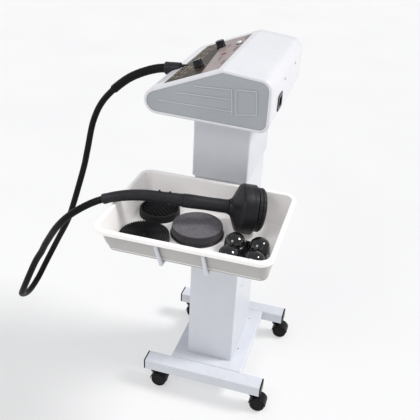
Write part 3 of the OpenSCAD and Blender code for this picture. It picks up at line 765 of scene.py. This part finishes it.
def build_castor(name, stem):
    """A hooded twin-wheel castor: hood, web, swivel boss and stem; two wheels on one axle."""
    axle = (stem[0], stem[1] + TRAIL, WHEEL_R)
    hood = Skin()
    section = rounded([(-22, 26.3, 0.5), (22, 26.3, 0.5), (22, 27.6, 0.5), (20, 29, 1.5),
                       (-20, 29, 1.5), (-22, 27.6, 0.5)], 3)
    arc_cover(hood, axle, 9, 171, section)
    web = np.array([(-6, 27.5), (6, 27.5), (6, 4.3), (-6, 4.3)])
    arc_cover(hood, axle, -18, 198, web)
    place = Matrix.Translation((stem[0], stem[1], 0))
    hood.turned(rounded([(0, 50, 0), (12, 50, 1), (12, 66, 1.5), (9.5, 69.5, 1.5), (5.5, 69.5, 0),
                         (5.5, 96, 1), (0, 96, 0)], 4, False), place, 40)
    piece(name + "_hood_shell", hood, castor_black, name + "_swivel", name + "_hood")

    wheels = Skin()
    for side in (1, -1):
        place = Matrix.Translation(axle) @ Matrix.Rotation(side * math.pi / 2, 4, "Y")
        profile = rounded([(0, 6.6, 0), (22.5, 6.6, 0.5), (WHEEL_R, 9, 2), (WHEEL_R, 17, 3),
                           (22.6, 20.2, 1.2), (18, 20.8, 1), (16.2, 18.6, 1), (8, 18.2, 1),
                           (6.6, 20.4, 1), (0, 21, 0)], 4, False)
        wheels.turned(profile, place, 56)
    piece(name + "_wheel_pair", wheels, tread_black, name + "_wheels", name + "_wheels")


for part, x in (("tray", BAR_X), ("far", -BAR_X)):
    for end, y in (("front", -STEM_Y), ("rear", STEM_Y)):
        build_castor(f"castor_{part}_{end}", (x, y))

# ---- column ----


def oblong_about(half, r):
    """An oblong about the middle from its half sizes."""
    return oblong(-half[0], half[0], -half[1], half[1], r)


def underside(y):
    """Height of the console's slightly falling underside."""
    return 985 + (y + 165) * math.tan(math.radians(BOTTOM_ANGLE))


def upright(skin, outer, inner, bottom, edge):
    """A vertical tube whose top follows the console's underside, with a rounded lower edge."""
    rows = []
    for d, z in ((edge, bottom), (edge * 0.3, bottom + edge * 0.3), (0, bottom + edge)):
        rows.append(flat(rounded(inset(outer, d), 6), z))
    for outline in (outer, inner):
        shape = rounded(outline, 6)
        rows.append(np.column_stack([shape, underside(shape[:, 1])]))
    rows.append(flat(rounded(inner, 6), bottom))
    skin.grid(np.array(rows), loop=True)


def build_column():
    """The folded lower column and the cover round its top, both upright tubes of sheet."""
    outline = oblong_about(COLUMN_HALF, 5)
    skin = Skin()
    upright(skin, outline, inset(outline, SHEET), BASE_TOP, 0.3)
    piece("column_tube", skin, cover_white, "root", "lower_column")
    skin = Skin()
    inner = oblong_about([half + 0.3 for half in COLUMN_HALF], 5)
    upright(skin, oblong_about(COVER_HALF, 6), inner, COVER_BOTTOM, 2)
    piece("column_top_cover", skin, cover_white, "root", "upper_cover")


build_column()

# ---- tray ----


def tray_wall(z, d=0.0):
    """Corners of the tray's outer wall at height z, moved inwards by d: each side leans
    outwards in a straight line from the bottom to the rim."""
    u = (z - TRAY_BOTTOM) / (RIM_TOP - 1 - TRAY_BOTTOM)
    return inset(oblong(149 - 6 * u, 438 + 49 * u, -211 - 7 * u, 211 + 7 * u, 22 + 8 * u), d)


def build_tray():
    """One moulded skin of outlines at changing heights: underside, wall, turned rim with its
    lip, inner wall and floor, each bend a quarter round. Two ribs lie underneath."""
    rim = oblong(134, 498, -227, 227, 34)
    bend = np.linspace(0, math.pi / 2, 6)
    rise, fall = 1 - np.cos(bend), 1 - np.sin(bend)
    levels = [(tray_wall(TRAY_BOTTOM, 9 * b), TRAY_BOTTOM + 9 * a) for a, b in zip(rise, fall)]
    levels += [(tray_wall(z), z) for z in (712, 740, 764, 768)]
    levels += [(inset(rim, 9), 770.5), (inset(rim, 3.6), 770.5), (inset(rim, 3), 769.5)]
    levels += [(inset(rim, 3), 764.6), (inset(rim, 2.4), 764)]
    outside = len(levels)
    levels += [(inset(rim, 0.6), 764), (rim, 764.8)]
    levels += [(inset(rim, 4 * a), RIM_TOP - 4 * b) for a, b in zip(rise, fall)]
    levels += [(tray_wall(RIM_TOP, TRAY_WALL - 4 * b), RIM_TOP - 4 * a) for a, b in zip(rise, fall)]
    levels += [(tray_wall(z, TRAY_WALL), z) for z in (764, 740, 715)]
    levels += [(tray_wall(TRAY_FLOOR, TRAY_WALL + 3 * a), TRAY_FLOOR + 3 * b)
               for a, b in zip(rise, fall)]
    skin = Skin()
    # Paint 0, the outside and rim, is the darker copy (painted shade); paint 1, the inside, is the
    # paler glowing copy (painted light).
    skin.levels(levels, steps=10, paints=[0] * outside + [1] * (len(levels) - 1 - outside))
    for y in (-ARM_Y, ARM_Y):
        skin.slab(oblong(164, 408, y - 6, y + 6, 3), TRAY_BOTTOM - 4, TRAY_BOTTOM + 1, 1)
    piece("tray_moulding", skin, [outer_tray_shade_paint, inner_tray_glow_paint], "root", "tray", sharp=40)


def build_tray_arms():
    """Rods along a straight line, an arc and a second line that leans with the tray's wall,
    with a rounded tip. A plate with two welded rings holds them on the column."""
    bend_r, reach = 9, 434
    lean = math.atan(49 / 95)
    turn = np.linspace(0, math.pi / 2 - lean, 14)
    up = np.array([math.sin(lean), 0, math.cos(lean)])
    length = 82 / up[2]
    steps = np.array([length * 0.5, length - ARM_R, length - 2, length - 0.5, length])
    for node, y in (("tray_arm_front", -ARM_Y), ("tray_arm_rear", ARM_Y)):
        start = np.array([[130.0, y, ARM_Z], [280.0, y, ARM_Z]])
        elbow = np.column_stack([reach + bend_r * np.sin(turn), 0 * turn + y,
                                 ARM_Z + bend_r * (1 - np.cos(turn))])
        path = np.concatenate([start, elbow, elbow[-1] + up * steps[:, None]])
        radii = np.full(len(path), float(ARM_R))
        radii[-3:] = (ARM_R * 0.8, ARM_R * 0.5, 0.3)
        skin = Skin()
        skin.swept(path, radii, 24)
        piece(node + "_rod", skin, coat_white, "root", node)

    wall = COLUMN_HALF[0]
    skin = Skin()
    skin.slab(oblong(-687, -649, -80, 80, 6), 0, 4, 0.8, Matrix.Translation((wall, 0, 0)) @ ALONG_X)
    ring = rounded([(5.2, 4, 0), (8.5, 4, 0.1), (5.2, 7, 1.2)], 4, False)
    for y in (-ARM_Y, ARM_Y):
        skin.turned(ring, Matrix.Translation((wall, y, ARM_Z)) @ ALONG_X, 32, loop=True)
    piece("arm_bracket", skin, coat_white, "root", "tray_bracket")


build_tray()
build_tray_arms()

# ---- console ----


def console_row(x, d, steps=10):
    """The console's outline drawn in by d, as a row of points at x."""
    return np.insert(rounded(inset(CONSOLE, d) if d else CONSOLE, steps), 0, x, axis=1)


def build_case():
    """The hollow shell: its outline carried from cheek to cheek and back along the inside, with
    openings for the base cover, the drive outlet and the inlet's pocket."""
    edge = [(0, 1.2), (0.8, 0.3), (1.6, 0)]
    stations = [(out - SHELL_HALF, d) for out, d in edge]
    stations += [(x, 0) for x in np.linspace(-180, 180, 7)]
    stations += [(SHELL_HALF - out, d) for out, d in reversed(edge)]
    stations += [(SHELL_HALF, CONSOLE_WALL), (-SHELL_HALF, CONSOLE_WALL)]
    skin = Skin()
    skin.grid(np.array([console_row(x, d) for x, d in stations]), loop=True)
    case = piece("console_case", skin, shell_white, "root", "console_shell")
    base, drive, inlet = Skin(), Skin(), Skin()
    base.slab(oblong(-195.3, 195.3, 49.7, 255.3, 8), -5, 8, 0.1, BOTTOM)
    drive.turned([(0, -60), (18.6, -60), (19.2, 20), (0, 20)], DRIVE, 48)
    inlet.slab(oblong(76, 128, 1004, 1042, 4), -155, -130, 0.1, TO_REAR.inverted())
    cut(case, base, drive, inlet)


def build_cheek(node, side):
    """A cheek: its outline drawn in by steps, out over a rounded rim and back to a sunk face."""
    a = np.linspace(0, math.pi / 2, 6)
    rim = [(0, 0.8), (0.8, 0.15), (1.4, 0)]
    rim += [(6 + 4 * math.sin(k), 4 * (1 - math.cos(k))) for k in a]
    rim += [(10 - 0.8 * (1 - math.cos(k)), 7.2 + 0.8 * math.sin(k)) for k in a]
    face = [(7.9 - 0.4 * math.sin(k), 8.2 + 0.6 * (1 - math.cos(k))) for k in a]
    rows = [console_row(side * (SHELL_HALF + out), d) for out, d in rim + face]
    skin = Skin()
    skin.grid(np.array(rows), paints=[2] * (len(rim) - 1) + [0] * len(face))
    # The ribs take the lighter grey, a painted highlight.
    skin.paint = 1
    cheek_ribs(skin, side, SHELL_HALF + face[-1][0])
    coats = [cheek_grey, rib_highlight_paint, shell_white]
    piece(node + "_moulding", skin, coats, "root", node)


def build_base_cover():
    """The plate that closes the console from below, with a screw at each corner."""
    skin = Skin()
    skin.slab(oblong(-195, 195, 50, 255, 8), -1.2, 2.5, 0.6, BOTTOM)
    over = Matrix.Rotation(math.pi, 4, "X")
    for x in (-180, 180):
        for y in (64, 241):
            screw_head(skin, BOTTOM @ Matrix.Translation((x, y, -1.2)) @ over)
    piece("console_base_cover", skin, coat_white, "root", "console_base_plate")


def cheek_ribs(skin, side, face):
    """Three low ribs towards the nose and an oblong one at the rear: rounded bars along (y, z)
    runs on the cheek's face."""
    runs = [[(-152, 1023), (43, 1021)], [(-100, 1050), (40, 1052)], [(-55, 1074), (38, 1077)],
            [(41, 1078), (46, 1012)],
            [(52, 1079), (104, 1081), (109, 1022), (56, 1014), (52, 1079)]]
    for run in runs:
        for (y0, z0), (y1, z1) in zip(run, run[1:]):
            length = math.hypot(y1 - y0, z1 - z0)
            place = Matrix.Translation((side * face, y0, z0))
            place @= Matrix.Rotation(math.atan2(z1 - z0, y1 - y0), 4, "X")
            place @= Matrix.Rotation(side * math.pi / 2, 4, "Y")
            skin.slab(oblong(-2.3, 2.3, -1.5, length + 1.5, 2.2), -0.5, 1.7, 1.6, place, steps=4)


build_case()
build_cheek("console_cheek_tray_side", 1)
build_cheek("console_cheek_far_side", -1)
build_base_cover()

# ---- controls ----

FILM_HALF = 206


def film(skin, corners, low, high):
    """A thin flat plate on the slope from its corners (x, s), a little smaller underneath."""
    top = flat(rounded(corners, 3), high)
    bottom = flat(rounded(inset(corners, 0.3), 3), low)
    skin.grid(placed(np.array([bottom, top]), SLOPE))


def split_line(x):
    """Distance up the slope of the border between the film's two colours."""
    return 69 + (x + 140) * 0.115


def mark(skin, x0, x1, s0, s1, place=SLOPE):
    """A printed bar on the film."""
    skin.slab(oblong(x0, x1, s0, s1, 0.3), 0.25, 0.42, 0.04, place, steps=2)


def knob_ticks(skin):
    """Eleven ticks round each knob, from its pointer's rest over its travel."""
    for (x, s), travel in ((INTENSITY_AT, INTENSITY_TRAVEL), (TIMER_AT, TIMER_TRAVEL)):
        for k in range(11):
            turn = Matrix.Rotation(math.radians(90 + k * travel / 10), 4, "Z")
            place = SLOPE @ Matrix.Translation((x, s, 0)) @ turn
            mark(skin, 18, 24 if k % 5 == 0 else 22, -0.7, 0.7, place)


def caption_rows(skin):
    """Three rows of bars, squares and pairs of bars in a repeating order, clear of the knobs."""
    for row, s in enumerate((10, 26, 42)):
        for k, x in enumerate(range(-172, 192, 14)):
            kind = (k * 5 + row * 3) % 7
            near_knob = min(math.dist((x, s), at) for at in (INTENSITY_AT, TIMER_AT)) < 30
            if near_knob or kind == 6:
                continue
            if kind < 3:
                mark(skin, x - 5, x + 5, s - 0.8, s + 0.8)
            elif kind < 5:
                mark(skin, x - 3.2, x + 3.2, s - 3.2, s + 3.2)
            else:
                mark(skin, x - 5, x + 1, s + 1.6, s + 3)
                mark(skin, x - 5, x + 4, s - 3, s - 1.6)


def headings(skin):
    """Pairs of long and short bars over the upper band."""
    runs = ((-176, -120, 145), (-40, 20, 146), (112, 160, 150), (-104, -62, 106), (52, 96, 124))
    for x0, x1, s in runs:
        mark(skin, x0, x1, s - 1, s + 1)
        mark(skin, x0, x1 - 14, s - 6, s - 4)


def build_panel():
    """The printed film: a pale sheet, brown below and mauve above, with generic marks."""
    near, far = FILM_HALF - 2, 16 - FILM_HALF
    split = [(far, split_line(far), 0.5), (near, split_line(near), 0.5)]
    sheet = [(-FILM_HALF, -2, 3), (FILM_HALF, -2, 3), (FILM_HALF, 165, 3), (-FILM_HALF, 165, 3)]
    lower = [(far, 2, 3), (near, 2, 3), *reversed(split)]
    upper = [*split, (near, 158, 3), (far, 152, 3)]
    layers = (("film_sheet", sheet, -0.8, 0.2, shell_white, "control_panel"),
              ("film_lower_band", lower, 0.1, 0.3, film_brown, None),
              ("film_upper_band", upper, 0.1, 0.3, film_mauve, None))
    for name, corners, low, high, print_colour, node in layers:
        skin = Skin()
        film(skin, corners, low, high)
        piece(name, skin, print_colour, "root", node)
    cream, dark = Skin(), Skin()
    knob_ticks(cream)
    caption_rows(cream)
    headings(dark)
    piece("panel_marks", cream, print_cream, "root", None)
    piece("panel_captions", dark, film_brown, "root", None)


def build_knob(name, node, at):
    """A turned knob with a skirt and a sunk top, twenty flutes and a pointer line."""
    profile = rounded([(0, 1, 0), (14.5, 1, 0.4), (14.5, 4, 0.8), (13.4, 5, 0.6), (12.9, 19.5, 2.2),
                       (10.6, 21, 0.6), (10.2, 20.3, 0.4), (0, 20.3, 0)], 5, False)

    def flutes(angle, r, z):
        """Scoops that follow a squared cosine of the angle and fade to the skirt and top."""
        fade = np.clip((z - 5) / 2, 0, 1) * np.clip((20 - z) / 2, 0, 1) * (r > 11)
        return r - 0.55 * fade * (0.5 + 0.5 * np.cos(20 * angle)) ** 2

    place = SLOPE @ Matrix.Translation((*at, 0))
    skin = Skin()
    skin.turned(profile, place, 200, flutes)
    skin.turned([(0, -15), (3, -15), (3, 2), (0, 2)], place, 24)
    skin.paint = 1
    skin.slab(oblong(-0.7, 0.7, 3, 9.8, 0.3), 20.1, 20.6, 0.1, place, steps=3)
    piece(name, skin, [knob_black, print_white], node, node)


def build_button():
    """The start button's crowned cap, in a turned ring."""
    place = SLOPE @ Matrix.Translation((*BUTTON_AT, 0))
    skin = Skin()
    skin.turned(rounded([(0, -4, 0), (7, -4, 0), (7, 6.9, 1.4), (0, 8.0, 9)], 5, False), place, 56)
    piece("start_button_cap", skin, button_white, "start_button", "start_button")
    skin = Skin()
    skin.turned(rounded([(7.05, -6, 0), (8.3, -6, 0), (8.3, 0.3, 0), (10, 0.3, 0.2), (10, 1.4, 0.5),
                         (8.4, 2.5, 0.6), (7.05, 2.3, 0)], 4, False), place, 56, loop=True)
    piece("button_ring", skin, knob_black, "root", "button_bezel")


def build_lamp():
    """The pilot lamp's turned lens, with a groove between its collar and its crown."""
    skin = Skin()
    profile = rounded([(0, 0, 0), (8.5, 0, 0.2), (8.5, 1.3, 0.5), (7.3, 1.9, 0.3), (7.0, 1.5, 0.2),
                       (5.2, 2.6, 0.6), (0, 3.0, 10)], 5, False)
    skin.turned(profile, SLOPE @ Matrix.Translation((*LAMP_AT, 0)), 56)
    piece("lamp_lens", skin, lamp_red, "root", "pilot_lamp")


def build_inlet():
    """The mains inlet: outlines from a rounded flange into a deep pocket, and three pins."""
    place = Matrix.Translation((INLET_AT[0], CONSOLE_REAR, INLET_AT[1])) @ TO_REAR
    skin = Skin()
    flange = oblong(-29, 29, -22, 22, 9)
    pocket = oblong(-17, 17, -12, 12, 4)
    skin.levels([(inset(flange, 1), -1), (flange, 0), (flange, 1.4), (inset(flange, 0.4), 2.2),
                 (inset(flange, 1.2), 2.5), (inset(pocket, -3.5), 2.5), (inset(pocket, -3.0), 2.0),
                 (inset(pocket, -0.6), 2.0), (pocket, 1.4), (pocket, -13)], place)
    skin.paint = 1
    for x in (-7, 0, 7):
        y = 3 if x == 0 else -2
        skin.slab(oblong(x - 1.2, x + 1.2, y - 2, y + 2, 0.6), -13.5, -2, 0.5, place, steps=3)
    piece("inlet_socket", skin, [knob_black, steel], "root", "mains_inlet")


build_panel()
build_knob("intensity_dial", "intensity_knob", INTENSITY_AT)
build_knob("timer_dial", "timer_knob", TIMER_AT)
build_button()
build_lamp()
build_inlet()

# ---- handpiece ----


def build_boot():
    """The bend boot: a tube on an arc. Its radius falls with a power of the share of the arc,
    to a collar with a rounded end."""
    turn = np.linspace(0, BOOT_ANGLE, 60)
    path = np.column_stack([BOOT_START - BOOT_BEND * np.sin(turn), 0 * turn,
                            -BOOT_BEND * (1 - np.cos(turn))])
    share = turn / BOOT_ANGLE
    radii = 15.4 - 2.2 * share ** 1.4
    radii = np.where(share > 0.90, 14.0, radii)
    radii = radii - 3.2 * np.clip((share - 0.965) / 0.035, 0, 1) ** 2
    skin = Skin()
    skin.swept(placed(path, HAND), radii, 36)
    piece("bend_boot_tube", skin, grip_black, "handpiece", "bend_boot")


def build_grips():
    """Rear grip, a cone with rings that follow the cube of a cosine along it, the turned front
    grip behind the head, and two studs on top."""
    x = np.linspace(BOOT_START, -177.5, 220)
    r = 15.4 + 2.1 * (x - BOOT_START) / 76
    rings = 0.8 * (0.5 + 0.5 * np.cos((x + 214) * 2 * math.pi / 4.4)) ** 3
    r = r - rings * ((x > -232) & (x < -180))
    profile = [(BORE_R, BOOT_START), *zip(r, x), (r[-1] - 0.8, -176.4), (BORE_R, -176.4)]
    skin = Skin()
    skin.turned(profile, HAND_AXIS, 64, loop=True)
    piece("rear_grip_sleeve", skin, grip_black, "handpiece", "grip_rear")
    profile = rounded([(BORE_R, -176, 0), (17.2, -176, 0.5), (18.4, -174.5, 0.8), (18.9, -160, 20),
                       (18.0, -110, 60), (18.6, -60, 20), (20.2, -52, 3), (BORE_R, -52, 0)],
                      6, False)
    skin = Skin()
    skin.turned(profile, HAND_AXIS, 64, loop=True)
    piece("front_grip_tube", skin, grip_black, "handpiece", "grip_front")
    stud = rounded([(0, 14, 0), (4.2, 14, 0), (4.0, 17, 1.5), (2.8, 18.2, 0.8), (2.5, 20.6, 1.0),
                    (0, 21.3, 3)], 5, False)
    skin = Skin()
    for x in (-240, -212):
        skin.turned(stud, HAND @ Matrix.Translation((x, 0, 0)), 32)
    piece("grip_stud_pair", skin, grip_black, "handpiece", "grip_studs")


def build_head():
    """The turned bell that flares into a broad ring, open at the front and hollow."""
    bell = rounded([(BORE_R, -52, 0), (20.2, -52, 2), (23.5, -44, 14), (40, -35.5, 30),
                    (63.5, -24.5, 7), (66.6, -19.6, 1.2), (HEAD_R, -18.4, 0.8), (HEAD_R, 4, 0.3),
                    (67.4, 4.6, 0.3), (67.4, 6, 0.3), (HEAD_R, 6.6, 0.3), (HEAD_R, 16, 1.2),
                    (66.6, 17, 0.5), (64, 17, 0.5)], 6, False)
    inside = [(64, -12), (60, -16), (22, -38), (BORE_R, -40)]
    skin = Skin()
    skin.turned([*bell, *inside], HAND_AXIS, 112, loop=True)
    piece("head_bell", skin, head_black, "handpiece", "head_housing")


def build_fitted_applicator():
    """The turned applicator in front of the head, off its axis by the spindle's throw."""
    profile = rounded([(0, 18.5, 0), (56, 18.5, 0.5), (60, 20.5, 1.5), (60, 27, 0.6),
                       (58.2, 28.2, 0.8), (58.2, 29.8, 0.8), (60, 31, 0.8), (60, 36.5, 4.5),
                       (54, 41.6, 3), (0, 42, 0)], 5, False)

    def scallops(angle, r, z):
        """Sixteen grip notches round the rim, a clipped cosine of the angle, that fade in with
        the radius."""
        fade = np.clip((r - 50) / 8, 0, 1)
        return r - 0.9 * fade * np.clip(np.cos(16 * angle) - 0.55, 0, 1) / 0.45

    skin = Skin()
    skin.turned(profile, HAND_AXIS @ Matrix.Translation((-THROW, 0, 0)), 192, scallops)
    piece("front_applicator", skin, pad_black, "applicator", "fitted_applicator")


build_boot()
build_grips()
build_head()
build_fitted_applicator()

# ---- loose applicators ----


def polar(skin, centre, radius, rise, rings, sides, foot=0.0, side=0):
    """A body in polar rows whose upper face is rise(x, y, r) above the tray's floor, down to its
    foot. The radius is one number, or one for each point of the outline. side counts the
    strips that wear the second paint."""
    r = np.linspace(1, 0.01, rings)[:, None] * np.broadcast_to(radius, sides)[None, :]
    angle = np.linspace(0, 2 * math.pi, sides, endpoint=False)[None, :]
    x, y = r * np.cos(angle), r * np.sin(angle)
    rows = np.stack([x, y, rise(x, y, r + 0 * angle)], -1)
    base = np.stack([x[0], y[0], np.full(sides, foot)], -1)
    drawn_in = base * [0.985, 0.985, 1]
    rows = np.concatenate([drawn_in[None], (base + [0, 0, 1.2])[None], rows])
    strips = [1] * side + [0] * (len(rows) - 1 - side)
    skin.grid(placed(rows, Matrix.Translation((*centre, TRAY_FLOOR))), paints=strips)


def eased(edge, width):
    """0 outside an edge and 1 inside it, with a quarter circle between, over width."""
    t = np.clip(edge / width, 0, 1)
    return np.sqrt(np.clip(1 - (1 - t) ** 2, 0, 1))


def build_sponge():
    """The sponge applicator: a turned backing plate with a lip, and a crowned foam disc."""
    profile = rounded([(0, 0, 0), (70, 0, 1), (73, 2, 1.5), (73, 6, 1.5), (71.2, 8, 0.6),
                       (0, 8, 0)], 5, False)
    skin = Skin()
    skin.turned(profile, Matrix.Translation((*SPONGE_AT, TRAY_FLOOR)), 128)
    piece("sponge_back_plate", skin, head_black, "sponge_applicator", "sponge_backing")

    def crown(x, y, r):
        """Nearly flat, with a round shoulder, and hollows from products of sine waves."""
        dent = 0.35 * np.sin(x / 13.0 + 1) * np.cos(y / 17.0)
        dent = dent + 0.15 * np.sin(x / 5.1) * np.sin(y / 6.3)
        edge = SPONGE_R - r
        bulge = 0.6 * (1 - (r / SPONGE_R) ** 2)
        return 9 + 21.2 * eased(edge, 3.2) + bulge + dent * eased(edge, 12)

    skin = Skin()
    # The five strips of the disc's side wear the darker copy of the foam: painted shade.
    polar(skin, SPONGE_AT, SPONGE_R, crown, 110, 128, foot=8.0, side=5)
    pad = piece("foam_disc", skin, [foam_grey, foam_side_shade_paint], "sponge_applicator", "sponge_pad")


def build_ridged():
    """The ridged applicator: rings of small rounded teeth on a thin disc."""
    def teeth(x, y, r):
        """A clipped cosine along the radius makes the rings, and one round them the teeth."""
        ring = np.clip(np.cos((r - 6) * 2 * math.pi / 6.6) * 1.6, 0, 1)
        cuts = 0.72 + 0.28 * np.cos(60 * np.arctan2(y, x))
        edge = RIDGED_R - r
        return 12.5 * eased(edge, 3) + eased(edge, 6) * 8.2 * ring ** 0.6 * cuts * (r > 7)

    skin = Skin()
    polar(skin, RIDGED_AT, RIDGED_R, teeth, 200, 360)
    piece("ridged_disc", skin, ridge_rubber, "ridged_applicator", "ridged_applicator",
          sharp=60)


def build_cupped():
    """The cupped applicator: a raised rim round a hollow full of short round nubs."""
    def nubs(x, y, r):
        """The rim is the difference of two shoulders, and the nubs a product of cosines."""
        hollow = eased(CUPPED_R - 6 - r, 4)
        rim = 20.0 * eased(CUPPED_R - r, 2.5) * (1 - hollow) + 8.0 * hollow
        cell = np.clip(np.cos(x * math.pi / 7.5) * np.cos(y * math.pi / 7.5), 0, 1) ** 0.5
        field = CUPPED_R - 10 - r
        return np.where(field < 0, rim, 8.0 + 9.5 * cell * eased(field, 3))

    skin = Skin()
    polar(skin, CUPPED_AT, CUPPED_R, nubs, 120, 240)
    piece("nubbed_disc", skin, pad_black, "cupped_applicator", "cupped_applicator",
          sharp=60)


def build_balls():
    """Four domes that melt into a low body. A soft maximum, the logarithm of a sum of
    exponentials, joins the outline of the body to the lobes, and its crown to the domes."""
    sides, body, blend = 192, 63, 2.5
    reach = BALL_OFF * math.sqrt(2)
    angle = np.linspace(0, 2 * math.pi, sides, endpoint=False)
    off = (angle % (math.pi / 2)) - math.pi / 4
    chord = np.clip(BALL_R ** 2 - (reach * np.sin(off)) ** 2, 0, None)
    lobe = reach * np.cos(off) + np.sqrt(chord)
    share = np.where(chord > 0, np.exp(lobe / blend), 0)
    outline = blend * np.log(np.exp(body / blend) + share) - 0.2

    def domes(x, y, r):
        """The body's low crown joined to each dome."""
        total = np.exp((25 - 0.0012 * r ** 2) / 3.0)
        for cx in (-BALL_OFF, BALL_OFF):
            for cy in (-BALL_OFF, BALL_OFF):
                rest = BALL_R ** 2 - (x - cx) ** 2 - (y - cy) ** 2
                height = 21.6 + np.sqrt(np.clip(rest, 0, None))
                total = total + np.where(rest > 0, np.exp(height / 3.0), 0)
        return 3.0 * np.log(total) * eased(outline[None, :] - r + 0.3, 7.0)

    skin = Skin()
    polar(skin, BALL_AT, outline, domes, 120, sides)
    piece("four_ball_disc", skin, ball_gloss, "ball_applicator", "ball_applicator",
          sharp=60)


build_sponge()
build_ridged()
build_cupped()
build_balls()

# ---- CAD nodes that stay as they are ----

KEPT = {
    "castor_sockets": bush_grey, "control_pots": steel, "control_board": board_green,
    "motor_can": motor_paint, "motor_rotor": core_copper, "motor_cradle": coat_white,
    "drive_coupling": steel, "shaft_gland": knob_black, "head_bearings": steel, "spindle": steel,
    "drive_plate": head_black,
}
for node, material in KEPT.items():
    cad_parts[node].data.materials.clear()
    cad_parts[node].data.materials.append(material)

# ---- stage and light ----


def build_stage():
    """A wide pale floor that turns up into a low wall all round: a profile carried round Z."""
    reach, height, bend, below = 18000, 9000, 6000, -0.4
    profile = rounded([(500, below, 0), (reach, below, bend), (reach, height, 0)], 24, False)
    angle = np.linspace(2 * math.pi, 0, 96, endpoint=False)[None, :]
    r, z = profile[:, :1] + 0 * angle, profile[:, 1:] + 0 * angle
    skin = Skin()
    skin.grid(np.stack([r * np.cos(angle), r * np.sin(angle), z], -1), caps=(True, False))
    paint = surface("pale_floor", (0.36, 0.36, 0.36), (0.345, 0.345, 0.35), 0.8, grain=60.0,
                    depth=0.0001, patches=1.5, marks=0.05, Emission_Color=(1, 1, 1, 1),
                    Emission_Strength=0.50)
    piece("floor", skin, paint, body=None, outward=False)


def area_light(name, at, aim, size, watts, colour):
    """A round lamp at one place that shines towards another, in metres."""
    data = bpy.data.lights.new(name, "AREA")
    data.shape = "DISK"
    data.size = size
    data.energy = watts
    data.color = colour
    lamp = bpy.data.objects.new(name, data)
    lamp.location = at
    lamp.rotation_euler = (Vector(aim) - Vector(at)).to_track_quat("-Z", "Y").to_euler()
    bpy.context.scene.collection.objects.link(lamp)


def sun_light(name, towards, strength, spread, colour):
    """Even light over the whole height. towards points at the light, spread is in degrees."""
    data = bpy.data.lights.new(name, "SUN")
    data.energy = strength
    data.angle = math.radians(spread)
    data.color = colour
    lamp = bpy.data.objects.new(name, data)
    lamp.rotation_euler = Vector(towards).to_track_quat("Z", "Y").to_euler()
    bpy.context.scene.collection.objects.link(lamp)


def build_light():
    """Soft light from above and the rear right, with an even sky that fills the shade."""
    world = bpy.data.worlds.new("sky")
    bpy.context.scene.world = world
    world.use_nodes = True
    background = world.node_tree.nodes["Background"]
    background.inputs["Color"].default_value = (0.93, 0.96, 1.0, 1)
    background.inputs["Strength"].default_value = 0.47
    sun_light("key", (-0.22, 0.86, 1.05), 2.65, 18, (1.0, 0.99, 0.985))
    area_light("front", (1.8, -0.7, 2.4), (0.1, 0, 1.0), 1.0, 14, (1.0, 1.0, 1.0))


build_stage()
build_light()
bpy.context.scene.view_settings.view_transform = "Standard"
